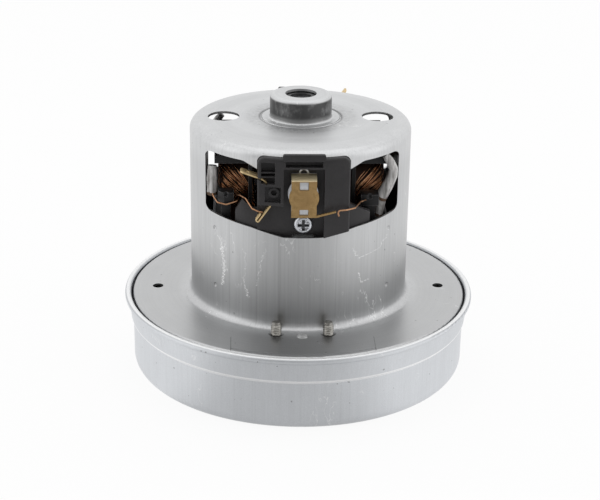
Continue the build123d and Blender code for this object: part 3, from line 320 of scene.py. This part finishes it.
def drawnSteel(name, look, marksAndShade=None):
    paint = surface(name, {"Metallic": 1.0})
    spot = paint.place()
    x, y, z = paint.parts(spot)
    radius = (x * x + y * y).math("SQRT")
    high, away = z / mm, radius / mm
    isDisc = paint.span(high, *look["discHeight"])
    isFlange = paint.span(away, *look["flangeRadius"]) * paint.span(high, *look["flangeHeight"])
    isFlat = isDisc.math("MAXIMUM", isFlange)
    wall, flat, fine, grain = steelGrain(paint, spot, paint.join(radius, z, 0.0), look)
    level = wall * (1 - isFlat) + flat * isFlat
    dark, light = (tint(look[key], look["cast"]) for key in ("dark", "light"))
    base = paint.ramp(level, (look["levels"][0], dark), (look["levels"][1], light))
    drags = paint.span(paint.noise(spot, *look["drag"]), *look["dragSpan"])
    drags = drags * (1 - paint.span(high, *look["dragTop"])) * (1 - isFlat)
    base = paint.blend(drags * look["drags"], base, grey(look["dragDark"]))
    base = paint.blend(isFlange * look["flangeDull"], base, grey(look["dullAndShade"]))
    if marksAndShade:
        # painted shade on the can's wall
        base = paint.blend(wallPaintedShade(paint, high, marksAndShade) * (1 - isFlat), base, grey(look["dullAndShade"]))
    pits = paint.span(paint.noise(spot, *look["pit"]), *look["pitSpan"])
    base = paint.blend(pits * look["pits"], base, grey(look["dark"] * look["pitDark"]))
    wearAndHighlight = veinsAndHighlights(paint, spot, high, look)
    if marksAndShade:
        base = paint.blend(flangeMarks(paint, x, y, marksAndShade) * isFlange, base, grey(marksAndShade["markDark"]))
        wearAndHighlight = wearAndHighlight.math("MAXIMUM", scratched(paint, spot, x, y, high, marksAndShade))
    # worn veins, scratches and painted edge highlights, lightened towards white
    base = paint.blend(wearAndHighlight, base, grey(1.0))
    hub = (1 - paint.span(away, *look["hubRadius"])) * paint.span(high, *look["hubFoot"])
    hub = hub * (1 - paint.span(high, *look["hubHead"]))
    base = paint.blend(hub, base, hubPolish(paint, spot, high, look))
    onTop = paint.span(high, *look["topHeight"]) * (1 - hub)
    groove = 1 - paint.span((away - look["grooveRadius"]).math("ABSOLUTE"), *look["grooveWidth"])
    marked = (groove * look["groove"] + hubRipples(paint, x, y, radius, look)) * onTop
    base = paint.blend(marked, base, grey(look["markDark"]))
    rough = level * look["levelRough"] + wearAndHighlight * look["wearAndHighlightRough"] + (look["rough"] - look["levelRough"] / 2)
    rough = rough - hub * look["hubRough"] + isDisc * look["discRough"] - isFlange * look["flangeRough"]
    relief = fine * (1 - isFlat) * look["grainRelief"] + grain * look["grainRelief"]
    relief = relief - groove * onTop * look["grooveRelief"]
    return paint.feed(color=base, rough=rough, normal=paint.bump(relief, *look["relief"]))


# finishes: plastics

mouldedLooks = {
    "brushHolderPlastic": {"color": (0.026, 0.0245, 0.0255), "rough": 0.40},
    "coilFormerPlastic": {"color": (0.010, 0.010, 0.0105), "rough": 0.46},
    # lighter plastic for the rounded edges: a painted highlight
    "mouldedEdge": {"color": (0.30, 0.295, 0.30), "rough": 0.35},
    "guideVanePlastic": {"color": (0.03, 0.03, 0.032), "rough": 0.5},
    "brownPhenolic": {"color": (0.11, 0.055, 0.03), "rough": 0.45},
    "brushCarbon": {"color": (0.03, 0.03, 0.031), "rough": 0.6},
    # the sleeves' capped mouths: painted shade of the open ends, and their brownish inside
    "sleeveMouth": {"color": (0.10, 0.062, 0.04), "rough": 0.6},
}
mouldedGrain = {
    "fine": (3200, 3, 0.6), "cloud": (120, 4, 0.6), "shares": (0.5, 0.5), "levels": (0.3, 0.7),
    "darker": 0.7, "lighter": 1.5, "gloss": 0.3, "roughMore": 0.25, "roughLess": 0.12,
    "relief": (0.12, 0.0001),
}


def moulded(name, grain, color, rough):
    paint = surface(name, {"Specular IOR Level": grain["gloss"]})
    spot = paint.place()
    fine, cloud = paint.noise(spot, *grain["fine"]), paint.noise(spot, *grain["cloud"])
    cloudShare, fineShare = grain["shares"]
    low, high = grain["levels"]
    dark, light = tint(grain["darker"], color), tint(grain["lighter"], color)
    base = paint.ramp(cloud * cloudShare + fine * fineShare, (low, dark), (high, light))
    rough = cloud * grain["roughMore"] + (rough - grain["roughLess"])
    return paint.feed(color=base, rough=rough, normal=paint.bump(fine, *grain["relief"]))


# finishes: brass, tin, copper, zinc and other bare metals

sheetLooks = {
    "stampedBrass": {"low": (0.26, 0.165, 0.066), "high": (0.50, 0.335, 0.15), "rough": 0.46, "scale": 620,
                     "metal": 0.85, "relief": 0.3, "tarnish": (0.30, 0.18, 0.075, 1),
                     "crease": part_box("brush_clip_front")[1][2]},
    "tabBrass": {"low": (0.52, 0.38, 0.18), "high": (0.86, 0.68, 0.40), "rough": 0.52, "scale": 420,
                 "metal": 0.75, "relief": 0.3},
    "tinnedSheet": {"low": (0.52, 0.53, 0.55), "high": (0.76, 0.77, 0.79), "rough": 0.33, "scale": 380},
    # wide light and dark patches on the wire: partly its own tone, partly painted highlights and shade
    "enamelledCopper": {"low": (0.16, 0.055, 0.018), "high": (1.0, 0.56, 0.31), "rough": 0.18, "scale": 420},
    "leadCopper": {"low": (0.30, 0.15, 0.08), "high": (0.62, 0.36, 0.21), "rough": 0.34, "scale": 620},
    # nearly black copper of the solid winding under the loose wires: painted shade in the gaps between them
    "buriedCopper": {"low": (0.012, 0.006, 0.004), "high": (0.05, 0.02, 0.010), "rough": 0.6, "metal": 0.3},
    "turnedCopper": {"low": (0.62, 0.30, 0.16), "high": (0.80, 0.44, 0.27), "rough": 0.3, "scale": 300,
                     "stretch": (1, 1, 12)},
    "zincPlate": {"low": (0.42, 0.42, 0.41), "high": (0.66, 0.66, 0.64), "rough": 0.34, "scale": 700},
    "brightZinc": {"low": (0.80, 0.80, 0.79), "high": (0.92, 0.92, 0.91), "rough": 0.40},
    "tipZinc": {"low": (0.13, 0.12, 0.105), "high": (0.50, 0.49, 0.46), "rough": 0.30, "scale": 900},
    "oiledSteel": {"low": (0.035, 0.035, 0.035), "high": (0.12, 0.12, 0.12), "rough": 0.30},
    "bearingSteel": {"low": (0.50, 0.51, 0.53), "high": (0.62, 0.63, 0.65), "rough": 0.24, "scale": 900,
                     "stretch": (1, 1, 10)},
    "groundSteel": {"low": (0.42, 0.43, 0.45), "high": (0.55, 0.56, 0.58), "rough": 0.28, "scale": 700,
                    "stretch": (1, 1, 14)},
    "rolledAluminium": {"low": (0.60, 0.61, 0.62), "high": (0.72, 0.73, 0.74), "rough": 0.35, "scale": 240,
                        "stretch": (1, 8, 1)},
}
sheetGrain = {
    # noises: detail and roughness, and their scale as a share of the sheet's own
    "cloud": (5, 0.65), "fine": (2, 0.6), "fineScale": 7, "shares": (0.6, 0.4), "levels": (0.32, 0.66),
    "patch": (5, 0.7), "patchScale": 0.5, "patchSpan": (0.5, 0.72), "patchShare": 0.6,
    "roughMore": 0.3, "depth": 0.0001,
}
# the clip's sloped top painted bright, a painted highlight
creaseHighlight = {"bright": (1.0, 0.86, 0.56, 1), "fade": (-1.5 * mm, -1.2 * mm), "share": 0.9}


def sheetMetal(name, grain, low, high, rough, scale=500, metal=1.0, stretch=(1, 1, 1), relief=0.08,
               tarnish=None, crease=None):
    paint = surface(name, {"Metallic": metal})
    spot = paint.place()
    cloud = paint.noise(spot, scale, *grain["cloud"], stretch)
    fine = paint.noise(spot, scale * grain["fineScale"], *grain["fine"], stretch)
    cloudShare, fineShare = grain["shares"]
    level = cloud * cloudShare + fine * fineShare
    least, most = grain["levels"]
    base = paint.ramp(level, (least, low), (most, high))
    if tarnish:
        patch = paint.noise(spot, scale * grain["patchScale"], *grain["patch"])
        patch = paint.span(patch, *grain["patchSpan"])
        base = paint.blend(patch * grain["patchShare"], base, tarnish)
    if crease:   # the clip's sloped top, painted bright: a painted highlight
        start, end = creaseHighlight["fade"]
        sloped = paint.span(paint.parts(spot)[2], crease + start, crease + end)
        base = paint.blend(sloped * creaseHighlight["share"], base, creaseHighlight["bright"])
    rough = level * grain["roughMore"] + (rough - grain["roughMore"] / 2)
    return paint.feed(color=base, rough=rough, normal=paint.bump(fine, relief, grain["depth"]))


# finishes: core laminations, sleeve film and the holder's screw

coreLook = {
    "sheet": 0.5 * mm, "cloud": (300, 4, 0.6), "shares": (0.2, 0.6), "metal": 0.8,
    "dark": (0.08, 0.08, 0.085), "light": (0.30, 0.30, 0.31), "levels": (0.1, 0.6),
    "rough": 0.4, "roughMore": 0.2, "relief": (0.3, 0.0001),
}
filmLook = {
    "folds": (760, 2, 0.5, (1, 1, 0.10)), "creases": (600, 4, 0.6, (1, 1, 0.4)), "shares": (0.65, 0.35),
    "dark": (0.17, 0.16, 0.15), "light": (0.62, 0.61, 0.60), "levels": (0.36, 0.60), "gloss": 0.7,
    "rough": 0.2, "roughMore": 0.3, "relief": (0.8, 0.0008),
}
crossLook = {
    "cloud": (900, 4, 0.6), "dark": (0.60, 0.62, 0.66), "light": (0.82, 0.84, 0.88), "levels": (0.35, 0.65),
    "rough": 0.2, "roughMore": 0.2, "relief": (0.1, 0.0001),
    "radius": 2.3 * mm, "fade": 0.2 * mm, "deep": (0.75 * mm, 0.35 * mm), "recess": 0.03, "recessShare": 0.95,
    # chewed metal round the recess, and glints in it
    "chewed": 0.05, "chewNoise": (1700, 3, 0.6), "chewSpan": (0.52, 0.56), "chewRing": (0.95, 1.15),
    "chewFade": 0.25 * mm, "chewShare": 0.75, "glintSpan": (0.54, 0.60), "glintShare": 0.55,
}


def lamination(name, look):
    paint = surface(name, {"Metallic": look["metal"]})
    spot = paint.place()
    layer = (paint.parts(spot)[2] * (2 * math.pi / look["sheet"])).math("SINE")
    cloud = paint.noise(spot, *look["cloud"])
    layerShare, cloudShare = look["shares"]
    low, high = look["levels"]
    base = paint.ramp(layer * layerShare + cloud * cloudShare, (low, look["dark"]), (high, look["light"]))
    rough = cloud * look["roughMore"] + look["rough"]
    return paint.feed(color=base, rough=rough, normal=paint.bump(layer, *look["relief"]))


def pleatedFilm(name, look):   # satin film sleeve with folds along it; its colour follows the fold relief, darker in the hollows: painted shade
    paint = surface(name, {"Specular IOR Level": look["gloss"]})
    spot = paint.place()
    folds, creases = paint.noise(spot, *look["folds"]), paint.noise(spot, *look["creases"])
    foldShare, creaseShare = look["shares"]
    level = folds * foldShare + creases * creaseShare
    low, high = look["levels"]
    base = paint.ramp(level, (low, look["dark"]), (high, look["light"]))
    rough = creases * look["roughMore"] + look["rough"]
    return paint.feed(color=base, rough=rough, normal=paint.bump(level, *look["relief"]))


def crossScrew(name, look):   # bright zinc; its driving recess painted dark as shade, with painted glints, and chewed metal round it
    low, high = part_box("holder_screw_front")
    axisHeight, headFace, radius = (low[2] + high[2]) / 2, -low[1], look["radius"]
    paint = surface(name, {"Metallic": 1.0})
    spot = paint.place()
    x, y, z = paint.parts(spot)
    off = (x * x + (z - axisHeight) * (z - axisHeight)).math("SQRT")
    deep = 1 - paint.span(y.math("ABSOLUTE"), headFace - look["deep"][0], headFace - look["deep"][1])
    recess = deep * (1 - paint.span(off, radius, radius + look["fade"]))
    cloud = paint.noise(spot, *look["cloud"])
    least, most = look["levels"]
    base = paint.ramp(cloud, (least, look["dark"]), (most, look["light"]))
    chewed = paint.noise(spot, *look["chewNoise"])
    inner, outer = look["chewRing"]
    around = deep.math("MAXIMUM", 1 - paint.span(off, radius * inner, radius * outer))
    around = around * (1 - paint.span(off, radius, radius + look["chewFade"]))
    around = around * paint.span(chewed, *look["chewSpan"])
    base = paint.blend(around * look["chewShare"], base, grey(look["chewed"]))
    recess = recess * (look["recessShare"] - paint.span(chewed, *look["glintSpan"]) * look["glintShare"])
    # painted shade in the driving recess, broken by painted glints
    base = paint.blend(recess, base, grey(look["recess"]))
    rough = cloud * look["roughMore"] + look["rough"]
    return paint.feed(color=base, rough=rough, normal=paint.bump(cloud, *look["relief"]))


finishes = {
    "drawnCanSteel": drawnSteel("drawnCanSteel", steelLook, wallMarksAndShade),
    "pressedCoverSteel": drawnSteel("pressedCoverSteel", coverLook),
    "coreLaminations": lamination("coreLaminations", coreLook),
    "sleeveFilm": pleatedFilm("sleeveFilm", filmLook),
    "crossScrewZinc": crossScrew("crossScrewZinc", crossLook),
}
for name, look in mouldedLooks.items():
    finishes[name] = moulded(name, mouldedGrain, **look)
for name, look in sheetLooks.items():
    finishes[name] = sheetMetal(name, sheetGrain, **look)

finishOf = {   # the start of a node's name and its finish
    "motor_can": "drawnCanSteel", "fan_cover": "pressedCoverSteel", "field_core": "coreLaminations",
    "armature_core": "coreLaminations", "guide_vane_plate": "guideVanePlastic",
    "bearing_bracket": "brightZinc", "bracket_screws": "zincPlate", "fan_nut": "zincPlate",
    "fan_washers": "zincPlate", "rotor_shaft": "groundSteel", "fan_spacer": "groundSteel",
    "shaft_collars": "brownPhenolic", "commutator_body": "brownPhenolic", "commutator_bars": "turnedCopper",
    "armature_winding": "enamelledCopper", "field_coil": "buriedCopper", "lead_wires": "leadCopper",
    "upper_former": "coilFormerPlastic", "lower_former": "coilFormerPlastic",
    "brush_holder": "brushHolderPlastic", "brush_tube": "tinnedSheet", "clip_plate": "tinnedSheet",
    "brush_clip": "stampedBrass", "tab_terminal": "tabBrass", "holder_screw": "crossScrewZinc",
    "brush_spring": "groundSteel", "carbon_brush": "brushCarbon", "lead_sleeve": "sleeveFilm",
    "fan_": "rolledAluminium", "top_bearing": "oiledSteel", "lower_bearing": "bearingSteel",
}
for name in nodes:
    chosen = next(finish for start, finish in finishOf.items() if name.startswith(start))
    nodes[name].data.materials.clear()
    nodes[name].data.materials.append(finishes[chosen])
print("finishes ready")

# pieces whose sharp CAD edges get a small real edge

edgeLooks = {
    "brush_holder": {"width": 0.20 * mm, "slot": "holder_plastic", "edge": "mouldedEdge"},
    "brush_clip": {"width": 0.07 * mm, "slot": "brass"},
    "tab_terminal": {"width": 0.07 * mm, "slot": "brass"},
    "clip_plate": {"width": 0.06 * mm, "slot": "tinned_metal"},
    "upper_former": {"width": 0.14 * mm, "slot": "former_plastic", "edge": "mouldedEdge"},
}
softening = {"segments": 2, "angle": math.radians(32), "merge": 0.002 * mm}


def pickOnly(thing):
    bpy.ops.object.select_all(action="DESELECT")
    thing.select_set(True)
    bpy.context.view_layer.objects.active = thing


def copyOf(source, name):   # the same mesh as an object of its own
    piece = source.copy()
    piece.data = source.data.copy()
    piece.name = name
    piece.parent = None
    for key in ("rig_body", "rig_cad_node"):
        if key in piece:
            del piece[key]
    bpy.context.scene.collection.objects.link(piece)
    return piece


def applyModifiers(thing):
    pickOnly(thing)
    for modifier in list(thing.modifiers):
        bpy.ops.object.modifier_apply(modifier=modifier.name)


def softenEdges(node, look):
    piece = copyOf(nodes[node], node + "Moulded")
    pickOnly(piece)
    bpy.ops.object.mode_set(mode="EDIT")
    bpy.ops.mesh.select_all(action="SELECT")
    bpy.ops.mesh.customdata_custom_splitnormals_clear()
    bpy.ops.mesh.remove_doubles(threshold=softening["merge"])
    bpy.ops.object.mode_set(mode="OBJECT")
    rounding = piece.modifiers.new("edge", "BEVEL")
    rounding.width = look["width"]
    rounding.segments = softening["segments"]
    rounding.limit_method = "ANGLE"
    rounding.angle_limit = softening["angle"]
    rounding.use_clamp_overlap = True
    if "edge" in look:   # the rounded edges get a lighter plastic: a painted highlight
        piece.data.materials.append(finishes[look["edge"]])
        rounding.material = 1
    applyModifiers(piece)
    bpy.ops.object.shade_smooth_by_angle(angle=softening["angle"])
    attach(piece, motor)
    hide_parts(node)


for end in ends:
    for kind in ("brush_holder", "brush_clip", "tab_terminal", "clip_plate"):
        softenEdges(f"{kind}_{end}", edgeLooks[kind])
for side in sides:
    softenEdges("upper_former_" + side, edgeLooks["upper_former"])
print("moulded and stamped pieces ready")

# brush springs: each a copy of its CAD spring, with a mesh of its own

for end in ends:
    node = "brush_spring_" + end
    spring = copyOf(nodes[node], "coiledSpring_" + end)
    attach(spring, motor)
    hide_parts(node)
    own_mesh(spring)
print("springs ready")

# smooth round runs, for the wires and the sleeves


def bareCurve(name):
    bpy.ops.object.select_all(action="DESELECT")
    bpy.ops.curve.primitive_nurbs_path_add(radius=0.01)
    thing = bpy.context.object
    thing.name = name
    thing.data.splines.clear()
    return thing


def addRun(curve, route, turn, order, resolution):   # route: x, y, z in mm and a share of the bevel's radius
    run = curve.splines.new("NURBS")
    run.points.add(len(route) - 1)
    for point, (x, y, z, radius) in zip(run.points, route):
        point.co = (turn * x * mm, turn * y * mm, z * mm, 1)
        point.radius = radius
    run.order_u = order
    run.use_endpoint_u = True
    run.resolution_u = resolution


def dress(thing, *names):
    thing.data.materials.clear()
    for name in names:
        thing.data.materials.append(finishes[name])


# field coils: loose enamelled wire over the solid winding, which is nearly black: painted shade between the
# wires

coilLook = {
    "wireRadius": 0.30 * mm, "sideWires": 9, "topWires": 10, "looseWires": 9, "seed": 11,
    "slot": "winding_copper",
    # the winding under the wires, in mm
    "foot": 63.2, "inside": 18.3, "outside": 30.7, "face": 18.55, "top": 87.0,
    "corner": 11.0, "cornerStart": 76.2,
    # where the wires start on its inner edge, how they climb and how far they stray
    "sideStart": (64.0, 73.2), "topStart": (73.4, 84.5), "looseBelow": 3, "slope": 1.0, "looseSlope": 0.35,
    "shares": (0.0, 0.35, 0.70, 0.93), "past": 1.08, "stray": 0.28, "waver": 0.25, "rearWaver": 0.2,
    "proud": (0, 0.3), "looseProud": (0.45, 0.9), "tuck": 3.2, "middle": 3.0, "sink": 0.7, "lead": 1.2,
    "leadStray": 0.8, "acrossStray": 0.2, "endRise": 0.4,
}


def frontDepth(look, height):   # how far out the winding's front face is at a height, in mm
    over = height - look["cornerStart"]
    if over <= 0:
        return look["face"]
    return look["face"] - look["corner"] + math.sqrt(max(0.0, look["corner"] ** 2 - over ** 2))


def wirePath(look, start, loose, draw):   # one turn of wire, front foot over the top to rear foot, in mm
    slope = look["slope"] + (draw.uniform(-look["looseSlope"], look["looseSlope"]) if loose else 0)
    breadth = look["outside"] - look["inside"]
    foot = start + draw.uniform(-look["stray"], look["stray"])
    proud = draw.uniform(*look["looseProud" if loose else "proud"])
    first = look["inside"] - look["lead"] + draw.uniform(0, look["leadStray"])
    half = [(first, look["face"] - look["sink"], look["foot"])]
    for share in look["shares"]:
        height = foot + breadth * slope * share + draw.uniform(-look["waver"], look["waver"])
        if height > look["top"]:
            break
        half.append((look["inside"] + breadth * share, frontDepth(look, height) + proud, height))
    end = min(look["top"], foot + breadth * slope * look["past"])
    across = min(look["outside"], look["inside"] + (end - foot) / slope)
    across = across - draw.uniform(0, look["acrossStray"])
    half.append((across, frontDepth(look, end) - look["tuck"], end))
    half.append((across, look["middle"], min(look["top"], end + look["endRise"])))
    points = [(x, -y, z, 1) for x, y, z in half]
    reach = look["rearWaver"]
    return points + [(x, y, z + draw.uniform(-reach, reach), 1) for x, y, z in reversed(half)]


def windCoil(name, look, turn, seed):
    draw = random.Random(seed)
    starts = []
    for count, (low, high) in ((look["sideWires"], look["sideStart"]), (look["topWires"], look["topStart"])):
        starts += [(low + (high - low) * i / (count - 1), False) for i in range(count)]
    lowest, highest = look["sideStart"][0], look["topStart"][1] - look["looseBelow"]
    starts += [(draw.uniform(lowest, highest), True) for i in range(look["looseWires"])]
    coil = bareCurve(name)
    for start, loose in starts:
        addRun(coil.data, wirePath(look, start, loose, draw), turn, order=4, resolution=3)
    coil.data.bevel_depth = look["wireRadius"]
    coil.data.bevel_resolution = 1
    pickOnly(coil)
    bpy.ops.object.convert(target="MESH")
    bpy.ops.object.shade_smooth()
    dress(coil, "enamelledCopper")
    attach(coil, motor)


windCoil("fieldWiresRight", coilLook, 1, coilLook["seed"])
windCoil("fieldWiresLeft", coilLook, -1, coilLook["seed"] + 1)
print("field wires wound")

# film sleeves on the coil leads; their capped mouths are dark brown: painted shade of the open ends and their
# brownish inside

sleeveLook = {
    "slot": "sleeve_fabric", "crumple": 0.55 * mm, "grain": 2.6 * mm, "mouth": 0.25 * mm,
    "crease": math.radians(50),
    # points x, y, z in mm and radius in mm, of the front ones; the rear ones stand half a turn round
    "left": [
        [(-32.8, -21.0, 86.2, 1.7), (-33.0, -21.5, 83.0, 1.9), (-33.0, -21.6, 79.0, 1.95),
         (-33.0, -21.0, 75.3, 2.0)],
    ],
    "right": [
        [(29.9, -24.8, 91.6, 1.3), (32.4, -24.6, 88.6, 1.6), (33.5, -23.6, 84.6, 1.85),
         (31.6, -22.0, 78.8, 2.1), (29.2, -20.8, 73.6, 2.3)],
        [(29.6, -20.8, 73.2, 1.5), (29.3, -20.8, 70.2, 1.7), (28.4, -20.5, 66.7, 1.7)],
    ],
}


def makeSleeve(name, look, route, turn):
    sleeve = bareCurve(name)
    addRun(sleeve.data, route, turn, order=3, resolution=14)
    sleeve.data.bevel_depth = mm
    sleeve.data.bevel_resolution = 6
    sleeve.data.use_fill_caps = True
    pickOnly(sleeve)
    bpy.ops.object.convert(target="MESH")
    crumple = bpy.data.textures.new(name, "CLOUDS")
    crumple.noise_scale = look["grain"]
    push = sleeve.modifiers.new("crumple", "DISPLACE")
    push.texture, push.texture_coords, push.strength = crumple, "LOCAL", look["crumple"]
    applyModifiers(sleeve)
    bpy.ops.object.shade_smooth_by_angle(angle=look["crease"])
    dress(sleeve, "sleeveFilm", "sleeveMouth")
    x, y, z, radius = route[-1]
    mouth = Vector((turn * x, turn * y, z)) * mm
    for face in sleeve.data.polygons:
        if (face.center - mouth).length < radius * mm + look["mouth"]:
            face.material_index = 1
    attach(sleeve, motor)
    return sleeve


for end, turn, shapes in (("front", 1, ("left", "right")), ("rear", -1, ("right", "left"))):
    for side, shape in zip(sides, shapes):
        for number, route in enumerate(sleeveLook[shape]):
            sleeve = makeSleeve(f"filmSleeve_{end}_{side}_{number}", sleeveLook, route, turn)
            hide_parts(f"lead_sleeve_{end}_{side}")
print("sleeves ready")

# M4 screws that hold the bearing bracket, their threaded tips up through the flange

screwsLow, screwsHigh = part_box("bracket_screws")
threadLook = {
    "foot": screwsLow[2], "tip": screwsHigh[2], "side": 9.5 * mm, "front": 44.8 * mm, "slot": "screw_steel",
    "core": 1.60 * mm, "crest": 2.0 * mm, "pitch": 0.7 * mm, "steps": 20,
    "tipLeft": 0.9 * mm, "tipEdge": 0.35 * mm,
    "headRadius": 3.8 * mm, "headTall": 2.2 * mm, "headEdge": 0.6 * mm, "stemShare": 0.8,
    "crease": math.radians(40),
}


def turnedPiece(radius, foot, top, vertices, edge, segments):   # a round bar with rounded ends
    bpy.ops.object.select_all(action="DESELECT")
    bpy.ops.mesh.primitive_cylinder_add(vertices=vertices, radius=radius, depth=top - foot,
                                        location=(0, 0, (top + foot) / 2))
    piece = bpy.context.object
    rounding = piece.modifiers.new("edge", "BEVEL")
    rounding.width, rounding.segments, rounding.limit_method = edge, segments, "ANGLE"
    applyModifiers(piece)
    return piece


def threadedScrew(look):
    foot, pitch = look["foot"], look["pitch"]
    stemFoot = foot + look["headTall"] * look["stemShare"]
    stem = turnedPiece(look["core"], stemFoot, look["tip"], vertices=20, edge=look["tipEdge"], segments=2)
    head = turnedPiece(look["headRadius"], foot, foot + look["headTall"], vertices=32,
                       edge=look["headEdge"], segments=3)
    bpy.ops.object.select_all(action="DESELECT")
    bpy.ops.mesh.primitive_circle_add(vertices=4, radius=look["crest"] - look["core"],
                                      location=(look["core"], 0, stemFoot + pitch),
                                      rotation=(math.pi / 2, 0, 0))
    thread = bpy.context.object
    bpy.ops.object.transform_apply(location=True, rotation=True, scale=True)
    wind = thread.modifiers.new("thread", "SCREW")
    wind.screw_offset, wind.steps, wind.render_steps = pitch, look["steps"], look["steps"]
    wind.iterations = int((look["tip"] - look["tipLeft"] - stemFoot - pitch) / pitch)
    applyModifiers(thread)
    pickOnly(stem)
    head.select_set(True)
    thread.select_set(True)
    bpy.ops.object.join()
    bpy.ops.object.transform_apply(location=True, rotation=True, scale=True)
    bpy.ops.object.mode_set(mode="EDIT")
    bpy.ops.mesh.select_all(action="SELECT")
    bpy.ops.mesh.normals_make_consistent(inside=False)
    bpy.ops.object.mode_set(mode="OBJECT")
    bpy.ops.object.shade_smooth_by_angle(angle=look["crease"])
    dress(stem, "tipZinc")
    return stem


firstScrew = threadedScrew(threadLook)
corners = {"LeftFront": (-1, -1), "LeftRear": (-1, 1), "RightFront": (1, -1), "RightRear": (1, 1)}
for corner, (across, along) in corners.items():
    screw = copyOf(firstScrew, "bracketScrew" + corner)
    screw.location = (across * threadLook["side"], along * threadLook["front"], 0)
    pickOnly(screw)
    bpy.ops.object.transform_apply(location=True, rotation=True, scale=True)
    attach(screw, motor)
    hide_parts("bracket_screws")
bpy.data.objects.remove(firstScrew)
print("threaded screws ready")

# room, floor and lamps

roomLook = {
    "front": (-0.12, -0.993, 0.0), "dimSpan": (0.45, 0.97), "bright": 1.02, "dim": 0.36,
    "floorSize": 3.0, "floorLevel": 0.86, "floorRough": 0.9, "floorSeen": 0.90,
    "floorSpan": (0.62, 0.98), "floorBright": 1.0, "floorDim": 0.60,
}


def roomLevel(paint, direction, edge, bright, dim):   # brightness of the room towards a direction
    return paint.dimSide(direction, roomLook["front"], edge) * (dim - bright) + bright


bpy.ops.object.select_all(action="DESELECT")
bpy.ops.mesh.primitive_plane_add(size=roomLook["floorSize"], location=(0, 0, 0))
floor = bpy.context.object
floor.name = "paleFloor"
floorLook = {"Base Color": grey(roomLook["floorLevel"]), "Roughness": roomLook["floorRough"]}
floorPaint = surface("paleFloor", floorLook)
rays = floorPaint.node("LightPath")
direct = rays.out("Is Camera Ray")
gloss = rays.out("Is Glossy Ray").math("MAXIMUM", rays.out("Is Transmission Ray"))
shine = roomLevel(floorPaint, floorPaint.place(), roomLook["floorSpan"], roomLook["floorBright"],
                  roomLook["floorDim"])
shine = direct + shine * (1 - direct)
white = floorPaint.node("Emission", None, {"Color": floorPaint.join(shine, shine, shine)})
seen = (direct + gloss).math("MINIMUM", 1.0) * roomLook["floorSeen"]
plain = Signal(floorPaint, floorPaint.shader.outputs[0])
mixed = floorPaint.node("MixShader", None, {0: seen, 1: plain, 2: white})
floorPaint.tree.links.new(mixed.socket, floorPaint.tree.nodes["Material Output"].inputs["Surface"])
floor.data.materials.append(floorPaint.owner)

studio = bpy.data.worlds.new("studio")
bpy.context.scene.world = studio
sky = Paint(studio, {"Strength": 1.0})
towards = sky.node("TexCoord", out="Generated")
shade = roomLevel(sky, towards, roomLook["dimSpan"], roomLook["bright"], roomLook["dim"])
direct = sky.node("LightPath", out="Is Camera Ray")
shade = direct + shade * (1 - direct)
sky.tree.links.new(sky.join(shade, shade, shade).socket, sky.shader.inputs["Color"])

lampAim = (0, 0, 0.05)
lamps = [   # name, place, width and height, watts
    ("softTop", (0.0, 0.10, 0.75), (0.9, 0.7), 0.55),
    ("softLeft", (-0.7, -0.15, 0.40), (0.5, 0.6), 0.3),
    ("softRight", (0.7, -0.15, 0.40), (0.5, 0.6), 0.3),
]
for name, place, size, power in lamps:
    lamp = bpy.data.lights.new(name, "AREA")
    lamp.shape = "RECTANGLE"
    lamp.size, lamp.size_y = size
    lamp.energy = power
    stand = bpy.data.objects.new(name, lamp)
    bpy.context.scene.collection.objects.link(stand)
    stand.location = place
    stand.rotation_euler = (Vector(lampAim) - Vector(place)).to_track_quat("-Z", "Y").to_euler()

# camera, fitted to the photograph: metres, degrees, and pixels of its 600 pixel width

cameraFit = {
    "distance": 0.553748, "height": 0.268782, "azimuth": -2.14, "tilt": 22.07, "pan": -0.049, "roll": 0.833,
    "focal": 1538.19, "picture": 600, "sensor": 36.0, "clip": (0.01, 20),
}
around = math.radians(cameraFit["azimuth"])
heading = around + math.radians(cameraFit["pan"])
tilt, roll = math.radians(cameraFit["tilt"]), math.radians(cameraFit["roll"])
ahead = Vector((-math.sin(heading) * math.cos(tilt), math.cos(heading) * math.cos(tilt), -math.sin(tilt)))
level = Vector((math.cos(heading), math.sin(heading), 0))
upward = level.cross(ahead)
rightward = math.cos(roll) * level + math.sin(roll) * upward
upright = -math.sin(roll) * level + math.cos(roll) * upward
lens = bpy.data.cameras.new("productView")
lens.sensor_width = cameraFit["sensor"]
lens.lens = cameraFit["focal"] * cameraFit["sensor"] / cameraFit["picture"]
lens.clip_start, lens.clip_end = cameraFit["clip"]
camera = bpy.data.objects.new("productView", lens)
bpy.context.scene.collection.objects.link(camera)
turn = Matrix((rightward, upright, -ahead)).transposed().to_4x4()
away = cameraFit["distance"]
place = Vector((away * math.sin(around), -away * math.cos(around), cameraFit["height"]))
camera.matrix_world = Matrix.Translation(place) @ turn
bpy.context.scene.camera = camera
bpy.context.scene.view_settings.view_transform = "Standard"
print("room and camera ready")
